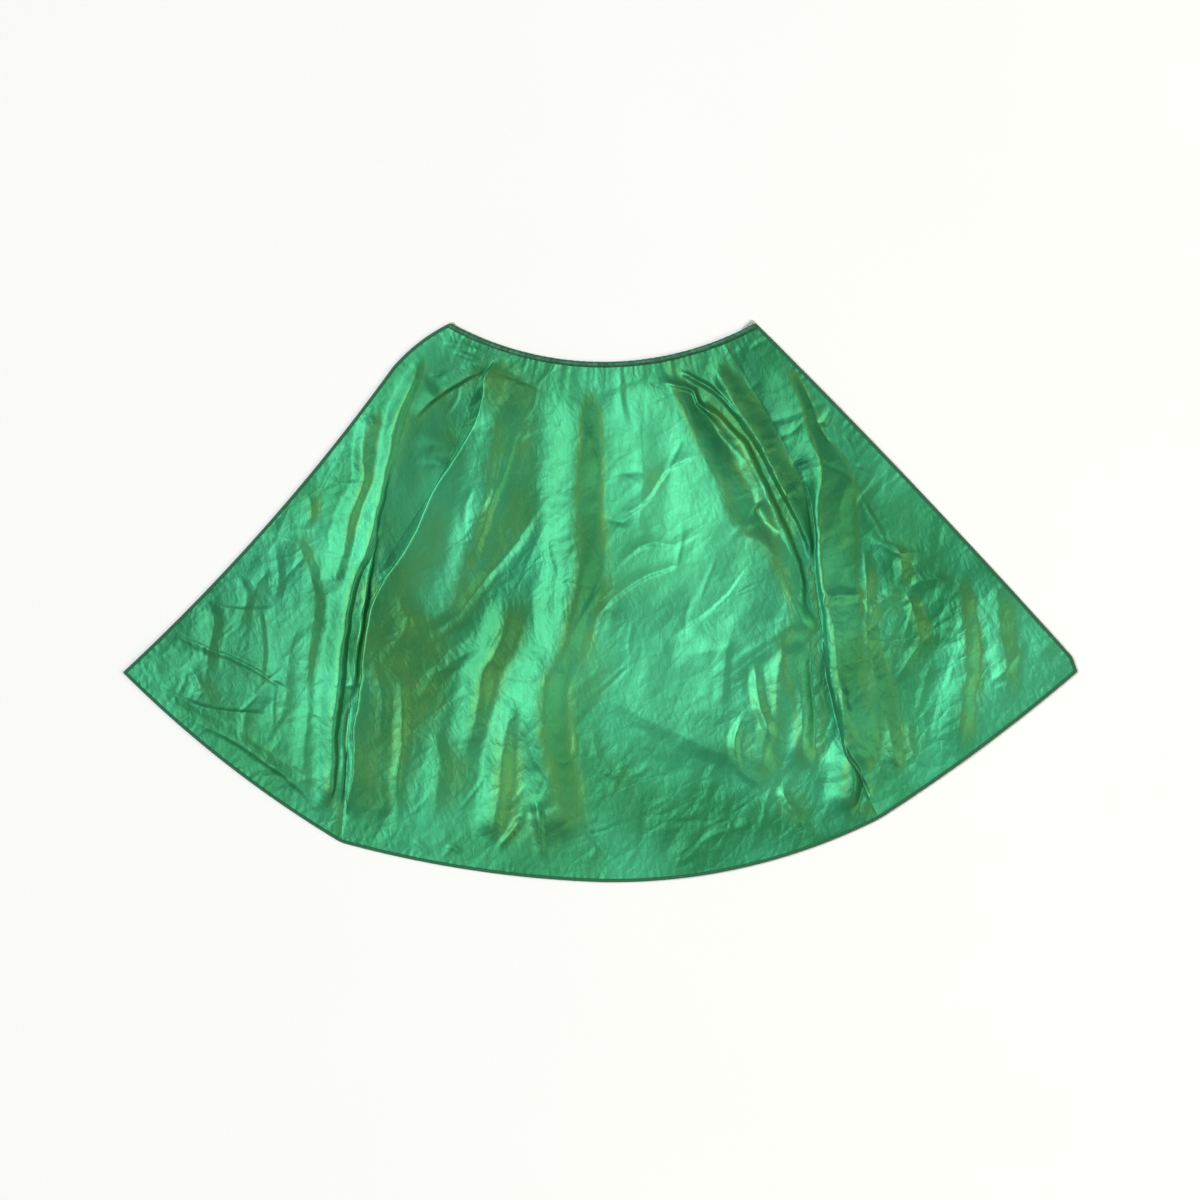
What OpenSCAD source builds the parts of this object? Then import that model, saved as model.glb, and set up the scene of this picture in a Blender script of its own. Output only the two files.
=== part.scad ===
// A child's satin cape, laid flat on a table with the neckline towards +Y.
// The origin is the middle of the cape's footprint, on the table. Millimetres.
// The cloth is thin in life: each panel here is the low closed solid that the
// laid cloth fills, ripples and folds included.

/* [Cape] */
// Width from one lower front corner to the other
cape_width = 1002; // [990:1:1014]
// Height of the lower front corners above the lowest point of the hem
corner_rise = 220; // [214:1:226]
// Distance between the two ends of the neckline
neck_width = 320; // [312:1:328]
// How far the neckline dips between its two ends
neck_dip = 41; // [38:1:44]
// Distance from the lowest point of the hem to the ends of the neckline
cape_depth = 587; // [580:1:594]

/* [Cloth] */
// Height that the laid cloth fills away from its folds
cloth_rest = 4; // [4:0.5:5]
// Width of the overlocked edge on the hem and the fronts
edge_width = 3.6; // [3:0.2:4.4]
// Width of a stitched panel seam
seam_width = 3; // [2:0.5:4]
// Height of the tallest gathered fold
fold_height = 18; // [15:1:20]

/* [Neck binding] */
// Width of the folded strip that binds the neckline
binding_width = 6; // [5:0.5:7]
// How deep the gathered cloth sits in the binding
tuck_depth = 4; // [3:0.5:4.5]

/* [Closure] */
// Length of a hook or loop patch, along the front edge
patch_length = 24; // [20:1:28]
// Width of a hook or loop patch
patch_width = 16; // [14:1:18]
// Thickness of a hook or loop patch
patch_thick = 1.8; // [1.4:0.1:2]
// How far the loop patch's corner peeks out past the tip of the neckline
loop_peek = 5.5; // [3:0.5:7]
// How far the hook patch's corner peeks out past the tip of the neckline
hook_peek = 3; // [2:0.5:5]

/* [Folding] */
// Height of the line that a front turns about, which is the inside of the roll
fold_axis_height = 12; // [11:0.5:14]
// Clear gap between a front and the rest of the cape
fold_gap = 0.3; // [0.3:0.1:1]

/* [Hidden] */
$fn = 48;
REACH = 700;

// The two ends of the hem, and its lowest point
hem_low = -295;
corner_y = hem_low + corner_rise;
neck_y = hem_low + cape_depth;
neck_shift = 3;
left_tip = [neck_shift - neck_width / 2, neck_y];
right_tip = [neck_shift + neck_width / 2, neck_y];
left_shoulder = [-218, 245];
left_corner = [-cape_width / 2, corner_y];
right_corner = [cape_width / 2, corner_y + 1];
right_corner_top = [cape_width / 2 - 6, corner_y + 17];
hem_middle = [0, hem_low];
left_seam_foot = [-272, -253.5];
right_seam_foot = [293, -228.5];
left_seam_head = [-115, 282];
right_seam_head = [120, 280];
// How far a laid seam bows outwards between the neck and the hem
seam_bulge = 21;

// The lines that the two fronts turn about, from the neck to the hem
left_turn = [[-203, 260], [-311, -228]];
right_turn = [[200, 256], [312, -215]];

// How far each stretch of the outline swells outwards, clockwise from the neck
right_front_bulge = 3.6;
right_hem_bulge = 4.5;
back_hem_right_bulge = 18.5;
back_hem_left_bulge = 8;
left_hem_bulge = 9;
left_front_bulge = -10.5;
left_shoulder_bulge = 4;

// Width of a fold's crown, as a share of its width at the table
fold_crown = 0.35;

binding_low = patch_thick;
binding_wall = 1;
tuck_low = binding_low + binding_wall;
tuck_top = cloth_rest + 0.05;
binding_top = cloth_rest + 1.2;
binding_spine = binding_width - tuck_depth;

stitch_length = 3;
stitch_pitch = 4.2;
stitch_width = 0.7;
stitch_rise = 0.4;
patch_round = 2;
patch_stitch_inset = 2.2;
patch_groove = 0.6;

satin = [0.18, 0.62, 0.40];
trim = [0.08, 0.42, 0.25];
thread = [0.10, 0.36, 0.22];
tape = [0.62, 0.61, 0.60];

// ---- plane geometry -------------------------------------------------------

function unit(v) = v / norm(v);
function left_of(v) = [-v[1], v[0]];

// Points along the arc from a to b that swells by bulge to the left of the way
function arc_points(a, b, bulge, n) =
    let (half = norm(b - a) / 2,
         r = (half * half + bulge * bulge) / (2 * bulge),
         centre = (a + b) / 2 + left_of(unit(b - a)) * (bulge - r),
         first = atan2(a[1] - centre[1], a[0] - centre[0]),
         sweep = 2 * asin(half / abs(r)) * sign(bulge))
    [for (i = [0:n]) centre + abs(r) * [cos(first - sweep * i / n), sin(first - sweep * i / n)]];

// Arcs end to end: the stops are joined in order, each stretch with its own bulge
function chain(stops, bulges, n) =
    [for (k = [0:len(bulges) - 1])
        let (points = arc_points(stops[k], stops[k + 1], bulges[k], n))
        for (i = [0:n - (k < len(bulges) - 1 ? 1 : 0)]) points[i]];

// The same path, moved to its right by w, which is into the cape
function inset(path, w) =
    [for (i = [0:len(path) - 1])
        let (before = path[max(i - 1, 0)], after = path[min(i + 1, len(path) - 1)])
        path[i] - left_of(unit(after - before)) * w];

// The path with both its ends carried on straight by e
function longer(path, e) =
    let (n = len(path) - 1)
    concat([path[0] + unit(path[0] - path[1]) * e], path, [path[n] + unit(path[n] - path[n - 1]) * e]);

function reversed(list) = [for (i = [len(list) - 1:-1:0]) list[i]];
function dropped_first(list) = [for (i = [1:len(list) - 1]) list[i]];

neckline = chain([left_tip, right_tip], [-neck_dip], 44);
right_front = chain([right_tip, right_corner_top], [right_front_bulge], 20);
right_chamfer = [right_corner_top, right_corner];
right_hem = chain([right_corner, right_seam_foot], [right_hem_bulge], 16);
back_hem = chain([right_seam_foot, hem_middle, left_seam_foot],
    [back_hem_right_bulge, back_hem_left_bulge], 18);
left_hem = chain([left_seam_foot, left_corner], [left_hem_bulge], 16);
left_front = chain([left_corner, left_shoulder, left_tip],
    [left_front_bulge, left_shoulder_bulge], 14);
hemline = concat(right_hem, dropped_first(back_hem), dropped_first(left_hem));
right_front_edge_line = concat(right_front, [right_corner]);

// A strip from `from` to `to` inside a path, carried on past the path's ends
module strip(path, from, to) {
    polygon(concat(inset(longer(path, 3), from), reversed(inset(longer(path, 3), to))));
}

module outline() {
    polygon(concat(neckline, dropped_first(right_front), right_chamfer,
        dropped_first(right_hem), dropped_first(back_hem), dropped_first(left_hem),
        dropped_first(left_front)));
}

// The long band beside a path that runs down the cape, from `near` to `far` on
// its outer side: side is -1 on the cape's left and +1 on its right
module beside(path, near, far, side) {
    along = longer(path, REACH / 2);
    polygon(concat(inset(along, -side * near), reversed(inset(along, -side * far))));
}

left_seam = arc_points(left_seam_head, left_seam_foot, -seam_bulge, 16);
right_seam = arc_points(right_seam_head, right_seam_foot, seam_bulge, 16);

// ---- regions of the cape, seen from above ---------------------------------

module cloth_region() {
    difference() {
        outline();
        strip(neckline, -1, binding_spine);
        strip(hemline, -1, edge_width);
        strip(right_front_edge_line, -1, edge_width);
        strip(left_front, -1, edge_width);
    }
}

module fronts_region(gap) {
    beside(left_turn, gap, REACH, -1);
    beside(right_turn, gap, REACH, 1);
}

module back_region() {
    difference() {
        cloth_region();
        beside(left_seam, -seam_width / 2, REACH, -1);
        beside(right_seam, -seam_width / 2, REACH, 1);
    }
}

module gathers_region(seam, turn, side) {
    difference() {
        intersection() {
            cloth_region();
            beside(seam, seam_width / 2, REACH, side);
        }
        beside(turn, 0, REACH, side);
    }
}

module side_region(turn, side) {
    intersection() {
        cloth_region();
        beside(turn, fold_gap, REACH, side);
    }
}

module seam_region(seam, turn, side) {
    difference() {
        intersection() {
            cloth_region();
            beside(seam, -seam_width / 2, seam_width / 2, side);
        }
        beside(turn, 0, REACH, side);
    }
}

// ---- building blocks ------------------------------------------------------

// A long gathered fold lying in the cloth: stops are [x, y, height]
module fold(stops, half_width) {
    for (k = [0:len(stops) - 2])
        hull() {
            fold_end(stops[k], half_width);
            fold_end(stops[k + 1], half_width);
        }
}

module fold_end(stop, half_width) {
    translate([stop[0], stop[1], 0])
        cylinder(h = stop[2], r1 = half_width, r2 = half_width * fold_crown, $fn = 16);
}

// Cloth over a region given as a 2-D child, with the folds given as the others
module laid_cloth() {
    difference() {
        intersection() {
            linear_extrude(height = fold_height + 2)
                children(0);
            union() {
                translate([-REACH, -REACH, 0])
                    cube([2 * REACH, 2 * REACH, cloth_rest]);
                children([1:$children - 1]);
            }
        }
        binding_room();
        patch_room(hook_place);
        patch_room(loop_place);
    }
}

// Room for the binding round the tucked-in edge of the cloth
module binding_room() {
    translate([0, 0, -1])
        linear_extrude(height = tuck_low + 1)
            strip(neckline, -2, binding_width);
    translate([0, 0, tuck_top])
        linear_extrude(height = fold_height)
            strip(neckline, -2, binding_width);
}

// ---- closure patches ------------------------------------------------------

// A patch lies along the front edge, with its outer corner past the tip:
// [corner, angle of its long side, side, peek]
left_front_angle = 210;
right_front_angle = -46.4;
hook_place = [left_tip, left_front_angle, -1, hook_peek];
loop_place = [right_tip, right_front_angle, 1, loop_peek];

// Moves a shape drawn with its outer corner at the origin, long side along +X
// and width along +Y, to a tip of the neckline
module at_tip(place) {
    translate([place[0][0], place[0][1], 0])
        rotate([0, 0, place[1]])
            translate([-place[3], 0, 0])
                mirror([0, place[2] > 0 ? 1 : 0, 0])
                    children();
}

module round_rectangle(length, width, r) {
    polygon([for (c = [[length - r, width - r, 0], [r, width - r, 90], [r, r, 180], [length - r, r, 270]])
        for (a = [0:15:90]) [c[0] + r * cos(c[2] + a), c[1] + r * sin(c[2] + a)]]);
}

module patch_room(place) {
    at_tip(place)
        translate([0, 0, -1])
            linear_extrude(height = patch_thick + 1)
                round_rectangle(patch_length, patch_width, patch_round);
}

module patch(place) {
    at_tip(place)
        difference() {
            linear_extrude(height = patch_thick)
                round_rectangle(patch_length, patch_width, patch_round);
            translate([patch_stitch_inset, patch_stitch_inset, -1])
                linear_extrude(height = patch_groove + 1)
                    difference() {
                        square([patch_length - 2 * patch_stitch_inset, patch_width - 2 * patch_stitch_inset]);
                        translate([stitch_width, stitch_width])
                            square([patch_length - 2 * patch_stitch_inset - 2 * stitch_width,
                                patch_width - 2 * patch_stitch_inset - 2 * stitch_width]);
                    }
        }
}

// Stitches lie in the patch's groove, end to end with small gaps
module stitch_row(length, count) {
    pitch = length / count;
    for (i = [0:count - 1])
        translate([i * pitch + (pitch - stitch_length) / 2, 0, 0.1])
            cube([stitch_length, stitch_width, patch_groove - 0.1]);
}

module patch_stitching(place) {
    long = patch_length - 2 * patch_stitch_inset;
    short = patch_width - 2 * patch_stitch_inset;
    at_tip(place)
        translate([patch_stitch_inset, patch_stitch_inset, 0]) {
            stitch_row(long, 5);
            translate([0, short - stitch_width, 0])
                stitch_row(long, 5);
            translate([stitch_width, stitch_width, 0])
                rotate([0, 0, 90])
                    stitch_row(short - 2 * stitch_width, 3);
            translate([long, stitch_width, 0])
                rotate([0, 0, 90])
                    stitch_row(short - 2 * stitch_width, 3);
        }
}

// ---- the pieces -----------------------------------------------------------

// The tall fold that lies along each seam, over both its panels
module left_fold() {
    fold([[-104, 250, 8], [-152, 140, fold_height], [-196, 48, fold_height],
        [-228, -60, fold_height - 2], [-258, -200, 6]], 20);
}

module right_fold() {
    fold([[104, 245, 8], [152, 180, fold_height - 2], [196, 90, fold_height - 2],
        [232, -60, fold_height - 4], [262, -180, 6]], 20);
}

module back_panel() {
    color(satin) laid_cloth() {
        back_region();
        left_fold();
        right_fold();
        fold([[-20, 235, 4.5], [-12, 150, 8], [-14, -60, 8], [-22, -230, 4.5]], 26);
    }
}

module left_gathers() {
    color(satin) laid_cloth() {
        gathers_region(left_seam, left_turn, -1);
        left_fold();
    }
}

module right_gathers() {
    color(satin) laid_cloth() {
        gathers_region(right_seam, right_turn, 1);
        right_fold();
    }
}

module left_side_panel() {
    color(satin) laid_cloth() {
        side_region(left_turn, -1);
        fold([[-262, 130, 5], [-284, 60, 12], [-306, -50, 12], [-322, -150, 5]], 18);
    }
}

module right_side_panel() {
    color(satin) laid_cloth() {
        side_region(right_turn, 1);
        fold([[252, 160, 5], [288, 60, 12], [312, -60, 12], [330, -150, 5]], 20);
    }
}

// A seam rides over the fold beside it, which is given as the child
module panel_seam(seam, turn, side) {
    color(thread) laid_cloth() {
        seam_region(seam, turn, side);
        children();
    }
}

module left_panel_seam() { panel_seam(left_seam, left_turn, -1) left_fold(); }

module right_panel_seam() { panel_seam(right_seam, right_turn, 1) right_fold(); }

module neck_binding() {
    color(trim) difference() {
        translate([0, 0, binding_low])
            linear_extrude(height = binding_top - binding_low)
                difference() {
                    intersection() {
                        outline();
                        strip(neckline, -1, binding_width);
                    }
                    fronts_region(0);
                }
        translate([0, 0, tuck_low])
            linear_extrude(height = tuck_top - tuck_low)
                strip(neckline, binding_spine, binding_width + 1);
    }
}

// One row of stitches near the binding's inner edge, on the neckline's own circle
module binding_stitching() {
    neck_radius = (neck_width * neck_width / 4 + neck_dip * neck_dip) / (2 * neck_dip);
    row_radius = neck_radius + binding_width - 1.4;
    half = asin((neck_width / 2 - 12) / row_radius);
    count = floor(2 * half * PI / 180 * row_radius / stitch_pitch);
    color(thread) translate([neck_shift, neck_y - neck_dip + neck_radius, binding_top])
        for (i = [0:count])
            rotate([0, 0, -half + 2 * half * i / count])
                translate([-stitch_length / 2, -row_radius - stitch_width / 2, 0])
                    cube([stitch_length, stitch_width, stitch_rise]);
}

module edge_band(path) {
    difference() {
        linear_extrude(height = cloth_rest)
            difference() {
                intersection() {
                    outline();
                    strip(path, -1, edge_width);
                }
                strip(neckline, -1, binding_spine);
            }
        binding_room();
        patch_room(hook_place);
        patch_room(loop_place);
    }
}

module back_hem_edge() {
    color(thread) difference() {
        edge_band(hemline);
        linear_extrude(height = 3 * cloth_rest, center = true)
            fronts_region(0);
    }
}

module front_hem_edge(turn, side) {
    color(thread) intersection() {
        edge_band(hemline);
        linear_extrude(height = 3 * cloth_rest, center = true)
            beside(turn, fold_gap, REACH, side);
    }
}

module left_hem_edge() { front_hem_edge(left_turn, -1); }

module right_hem_edge() { front_hem_edge(right_turn, 1); }

module front_edge(path, turn, side) {
    color(thread) difference() {
        intersection() {
            edge_band(path);
            linear_extrude(height = 3 * cloth_rest, center = true)
                beside(turn, fold_gap, REACH, side);
        }
        linear_extrude(height = 3 * cloth_rest, center = true)
            strip(hemline, -1, edge_width);
    }
}

module left_front_edge() { front_edge(left_front, left_turn, -1); }

module right_front_edge() { front_edge(right_front_edge_line, right_turn, 1); }

// The start of a front's edge, which stays with the neck end
module tip_edge(path, turn, side) {
    color(thread) difference() {
        edge_band(path);
        linear_extrude(height = 3 * cloth_rest, center = true) {
            beside(turn, 0, REACH, side);
            strip(hemline, -1, edge_width);
        }
    }
}

module left_tip_edge() { tip_edge(left_front, left_turn, -1); }

module right_tip_edge() { tip_edge(right_front_edge_line, right_turn, 1); }

module hook_patch() { color(tape) patch(hook_place); }

module hook_patch_stitching() { color(thread) patch_stitching(hook_place); }

module loop_patch() { color(tape) patch(loop_place); }

module loop_patch_stitching() { color(thread) patch_stitching(loop_place); }

back_panel();
left_gathers();
right_gathers();
left_side_panel();
right_side_panel();
left_panel_seam();
right_panel_seam();
neck_binding();
binding_stitching();
back_hem_edge();
left_hem_edge();
right_hem_edge();
left_front_edge();
right_front_edge();
left_tip_edge();
right_tip_edge();
hook_patch();
hook_patch_stitching();
loop_patch();
loop_patch_stitching();
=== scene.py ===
"""A child's satin costume cape laid out on a table.

The cape is three panels of satin with a gathered neck in a narrow binding, an
overlocked hem and front edges, two panel seams, and a hook patch and a loop
patch under the two ends of the neckline. Sizes in this file are millimetres in
the cape's own frame: +X to the right of the cape seen from above, +Y towards
the neckline and +Z up from the table. Meshes are made in metres.
"""

from __future__ import annotations

import logging
import math
from dataclasses import dataclass, field
from enum import Enum
from typing import ClassVar

import bmesh
import bpy
import numpy as np
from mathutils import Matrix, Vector

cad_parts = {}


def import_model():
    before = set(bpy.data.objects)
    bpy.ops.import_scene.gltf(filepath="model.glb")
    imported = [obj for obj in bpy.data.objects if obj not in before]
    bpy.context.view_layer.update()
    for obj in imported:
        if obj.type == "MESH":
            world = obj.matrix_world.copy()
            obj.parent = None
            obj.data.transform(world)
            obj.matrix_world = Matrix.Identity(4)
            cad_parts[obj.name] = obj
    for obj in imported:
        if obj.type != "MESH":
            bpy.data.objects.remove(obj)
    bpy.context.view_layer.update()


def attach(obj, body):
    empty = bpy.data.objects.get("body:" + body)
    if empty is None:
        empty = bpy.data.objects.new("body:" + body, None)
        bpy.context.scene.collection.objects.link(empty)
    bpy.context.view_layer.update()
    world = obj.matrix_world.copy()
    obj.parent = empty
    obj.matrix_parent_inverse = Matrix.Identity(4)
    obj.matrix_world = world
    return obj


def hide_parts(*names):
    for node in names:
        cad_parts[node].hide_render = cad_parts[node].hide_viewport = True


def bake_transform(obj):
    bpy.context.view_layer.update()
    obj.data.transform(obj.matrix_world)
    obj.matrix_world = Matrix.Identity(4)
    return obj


LOG = logging.getLogger("cape")
MM = 0.001

Array = np.ndarray
Way = list[tuple[float, ...]]
Colour = tuple[float, float, float]


# ---------------------------------------------------------------------------
# Plane geometry
# ---------------------------------------------------------------------------


def unit(v: Array) -> Array:
    """The vectors of v, each made one long."""
    return v / np.maximum(np.linalg.norm(v, axis=-1, keepdims=True), 1e-9)


def left_of(v: Array) -> Array:
    """The plane vectors of v, turned a quarter turn to the left."""
    return np.stack([-v[..., 1], v[..., 0]], axis=-1)


def arc(a: tuple[float, float], b: tuple[float, float], bulge: float, count: int = 40) -> Array:
    """Points along the arc from a to b that swells to the left of the way.

    Args:
        a: The arc's first end.
        b: The arc's last end.
        bulge: How far its middle stands off the straight line.
        count: The number of steps.

    Returns:
        An array of count + 1 points.
    """
    p, q = np.array(a, float), np.array(b, float)
    half = np.linalg.norm(q - p) / 2
    r = (half * half + bulge * bulge) / (2 * bulge)
    centre = (p + q) / 2 + left_of(unit(q - p)) * (bulge - r)
    first = math.atan2(*(p - centre)[::-1])
    sweep = 2 * math.asin(half / abs(r)) * math.copysign(1, bulge)
    angles = first - sweep * np.arange(count + 1) / count
    return centre + abs(r) * np.stack([np.cos(angles), np.sin(angles)], axis=-1)


def joined(*paths: Array) -> Array:
    """The paths end to end, with the point that two of them share kept once."""
    return np.concatenate([paths[0]] + [p[1:] for p in paths[1:]])


def inset(path: Array, w: float) -> Array:
    """The path moved w to its right."""
    before = path[np.maximum(np.arange(len(path)) - 1, 0)]
    after = path[np.minimum(np.arange(len(path)) + 1, len(path) - 1)]
    return path - left_of(unit(after - before)) * w


def lengths(path: Array) -> Array:
    """How far along the path each of its points is."""
    steps = np.linalg.norm(np.diff(path, axis=0), axis=-1)
    return np.concatenate([[0.0], np.cumsum(steps)])


def spread(path: Array, t: Array) -> Array:
    """Points at the shares t of the path's length, for all of its columns."""
    s = lengths(path[:, :2])
    want = np.clip(t, 0, 1) * s[-1]
    return np.stack([np.interp(want, s, path[:, k]) for k in range(path.shape[1])], axis=-1)


def smooth_way(way: Way, step: float = 7.0) -> Array:
    """A smooth path through given stops.

    Args:
        way: The stops, each a tuple of x, y and any more numbers that go along.
        step: Roughly how far apart the path's points are.

    Returns:
        The points of a Catmull-Rom curve through the stops.
    """
    p = np.array(way, float)
    if len(p) < 3:
        count = max(2, int(np.linalg.norm(p[-1, :2] - p[0, :2]) / step))
        return p[0] + (p[-1] - p[0]) * np.linspace(0, 1, count)[:, None]
    q = np.concatenate([[2 * p[0] - p[1]], p, [2 * p[-1] - p[-2]]])
    out = []
    for k in range(1, len(q) - 2):
        count = max(2, int(np.linalg.norm(q[k + 1, :2] - q[k, :2]) / step))
        t = np.arange(count)[:, None] / count
        a, b, c, d = q[k - 1], q[k], q[k + 1], q[k + 2]
        out.append(
            0.5 * (2 * b + (c - a) * t + (2 * a - 5 * b + 4 * c - d) * t**2 + (3 * b - a - 3 * c + d) * t**3)
        )
    return np.concatenate(out + [p[-1:]])


def beside(points: Array, path: Array) -> tuple[Array, Array, Array]:
    """Where points lie against a path.

    Args:
        points: The points, as x and y.
        path: The path, with any further columns.

    Returns:
        The signed distance to the path, positive to the left of the way, the
        distance along it, and the path's direction there.
    """
    best = np.full(len(points), 1e12)
    side = np.zeros(len(points))
    along = np.zeros(len(points))
    way = np.zeros((len(points), 2))
    s = lengths(path[:, :2])
    for k in range(len(path) - 1):
        a, b = path[k, :2], path[k + 1, :2]
        d = b - a
        size = float(d @ d)
        if size < 1e-12:
            continue
        r = points - a
        t = np.clip((r @ d) / size, 0, 1)
        off = r - t[:, None] * d
        dist = np.einsum("ij,ij->i", off, off)
        near = dist < best
        best = np.where(near, dist, best)
        cross = d[0] * r[:, 1] - d[1] * r[:, 0]
        side = np.where(near, np.sign(cross), side)
        along = np.where(near, s[k] + t * math.sqrt(size), along)
        way[near] = d / math.sqrt(size)
    return np.sqrt(best) * np.where(side == 0, 1, side), along, way


def from_edge(points: Array, path: Array, reach: float) -> tuple[Array, Array]:
    """How far points are from an edge of the cape, and where along it.

    Args:
        points: The points, as x and y.
        path: The edge.
        reach: The distance past which nearness no longer matters.

    Returns:
        The distance, which is reach for all points farther off, and the
        distance along the edge.
    """
    marks = path[:: max(1, len(path) // 16)]
    spacing = lengths(path)[-1] / 16
    close = np.full(len(points), False)
    for mark in marks:
        close |= np.linalg.norm(points - mark, axis=1) < reach + spacing
    off, along = np.full(len(points), reach), np.zeros(len(points))
    if close.any():
        far, s, _ = beside(points[close], path)
        off[close], along[close] = np.minimum(np.abs(far), reach), s
    return off, along


def smoothstep(low: float, high: float, v: Array) -> Array:
    """A smooth rise from 0 at low to 1 at high."""
    t = np.clip((v - low) / (high - low), 0, 1)
    return t * t * (3 - 2 * t)


# ---------------------------------------------------------------------------
# The cut of the cape
# ---------------------------------------------------------------------------


@dataclass(frozen=True)
class Cut:
    """The outline of the laid cape and the lines inside it, in millimetres."""

    left_tip: tuple[float, float] = (-157.0, 292.0)
    right_tip: tuple[float, float] = (163.0, 292.0)
    neck_dip: float = 41.0
    left_shoulder: tuple[float, float] = (-218.0, 245.0)
    left_corner: tuple[float, float] = (-501.0, -75.0)
    right_corner: tuple[float, float] = (501.0, -74.0)
    right_corner_top: tuple[float, float] = (495.0, -58.0)
    left_foot: tuple[float, float] = (-272.0, -253.5)
    right_foot: tuple[float, float] = (293.0, -228.5)
    hem_middle: tuple[float, float] = (0.0, -295.0)
    left_turn: tuple[tuple[float, float], tuple[float, float]] = ((-203.0, 260.0), (-311.0, -228.0))
    right_turn: tuple[tuple[float, float], tuple[float, float]] = ((200.0, 256.0), (312.0, -215.0))
    roll_start: float = -13.0
    roll_end: float = 25.0

    def neck(self) -> Array:
        """The neckline from the left tip to the right one."""
        return arc(self.left_tip, self.right_tip, -self.neck_dip, 120)

    def left_front(self) -> Array:
        """The left front edge, from the neckline's tip to the lower corner."""
        top = arc(self.left_tip, self.left_shoulder, -4.0, 16)
        return joined(top, arc(self.left_shoulder, self.left_corner, 10.5, 60))

    def right_front(self) -> Array:
        """The right front edge, from the neckline's tip to the lower corner."""
        top = arc(self.right_tip, self.right_corner_top, 3.6, 70)
        return joined(top, np.array([self.right_corner_top, self.right_corner]))

    def back_hem(self) -> Array:
        """The back's hem from the left seam to the right one."""
        return joined(
            arc(self.left_foot, self.hem_middle, -8.0, 60),
            arc(self.hem_middle, self.right_foot, -18.5, 60),
        )

    def left_hem(self) -> Array:
        """The left front's hem from the corner to the seam."""
        return arc(self.left_corner, self.left_foot, -9.0, 60)

    def right_hem(self) -> Array:
        """The right front's hem from the seam to the corner."""
        return arc(self.right_foot, self.right_corner, -4.5, 60)

    def left_seam(self) -> Array:
        """The left panel seam as it lies, from the neck down to the hem."""
        return smooth_way(
            [(-117, 266), (-127, 236), (-139, 196), (-156, 152), (-181, 108), (-211, 62), (-231, 30),
             (-246, 0), (-253, -30), (-258, -68), (-262, -110), (-265, -150), (-268, -200), (-272, -250.5)]
        )

    def right_seam(self) -> Array:
        """The right panel seam as it lies, from the neck down to the hem."""
        return smooth_way(
            [(131, 268), (150, 240), (172, 203), (196, 160), (214, 118), (221, 72), (225, 24), (231, -20),
             (240, -62), (248, -96), (256, -132), (262, -160), (271, -183), (281, -204), (291.5, -226)]
        )


# ---------------------------------------------------------------------------
# How the cloth lies
# ---------------------------------------------------------------------------


@dataclass(frozen=True)
class Fold:
    """One fold or crease of the cloth.

    A way that runs down the cape has its right wall towards -X and its left
    wall towards +X.

    Attributes:
        way: The crest's stops as x, y and height; a groove has height under 0.
            Stops of five numbers also give the widths of the two walls there.
        right: Width of the wall on the right of the way.
        left: Width of the wall on the left of the way.
        crisp: 0 for a round fold and 1 for one with a sharp crest.
        lip: How far the narrower wall is a round lip over a steep drop.
        lean: How far the crest hangs over its steep wall, which is the right
            one if this is positive.
        fade: How far the fold takes to die out at each of its ends.
    """

    way: Way
    right: float
    left: float
    crisp: float = 0.6
    lean: float = 0.0
    fade: float = 26.0
    lip: float = 0.0

    sharpness: ClassVar[float] = 1.3
    steep_ratio: ClassVar[tuple[float, float]] = (1.1, 2.4)

    def lift(self, points: Array) -> tuple[Array, Array]:
        """How the fold moves points of the cloth.

        Args:
            points: The cloth's points, as x and y.

        Returns:
            The rise of each point and its sideways shift.
        """
        path = smooth_way(self.way)
        wide = path.shape[1] > 3
        reach = path[:, 3:].max() if wide else max(self.right, self.left)
        low, high = path[:, :2].min(0) - reach, path[:, :2].max(0) + reach
        inside = np.all((points > low) & (points < high), axis=1)
        rise, shift = np.zeros(len(points)), np.zeros((len(points), 2))
        if not inside.any():
            return rise, shift
        off, along, way = beside(points[inside], path)
        s = lengths(path[:, :2])
        height = np.interp(along, s, path[:, 2])
        right = np.interp(along, s, path[:, 3]) if wide else np.full(len(off), self.right)
        left = np.interp(along, s, path[:, 4]) if wide else np.full(len(off), self.left)
        width = np.where(off < 0, right, left)
        t = np.clip(np.abs(off) / width, 0, 1)
        round_wall = 0.5 + 0.5 * np.cos(math.pi * t)
        sharp_wall = (1 - t) ** self.sharpness
        shape = (1 - self.crisp) * round_wall + self.crisp * sharp_wall
        lip = self.lip * smoothstep(*self.steep_ratio, np.where(off < 0, left, right) / width)
        shape = (1 - lip) * shape + lip * (1 - t**2)
        fade = min(self.fade, s[-1] * 0.45)
        ends = smoothstep(0, fade, along) * smoothstep(0, fade, s[-1] - along)
        rise[inside] = height * shape * ends
        steep = smoothstep(*self.steep_ratio, left / right if self.lean > 0 else right / left)
        shift[inside] = -left_of(way) * (self.lean * shape * ends * steep)[:, None]
        return rise, shift


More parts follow.
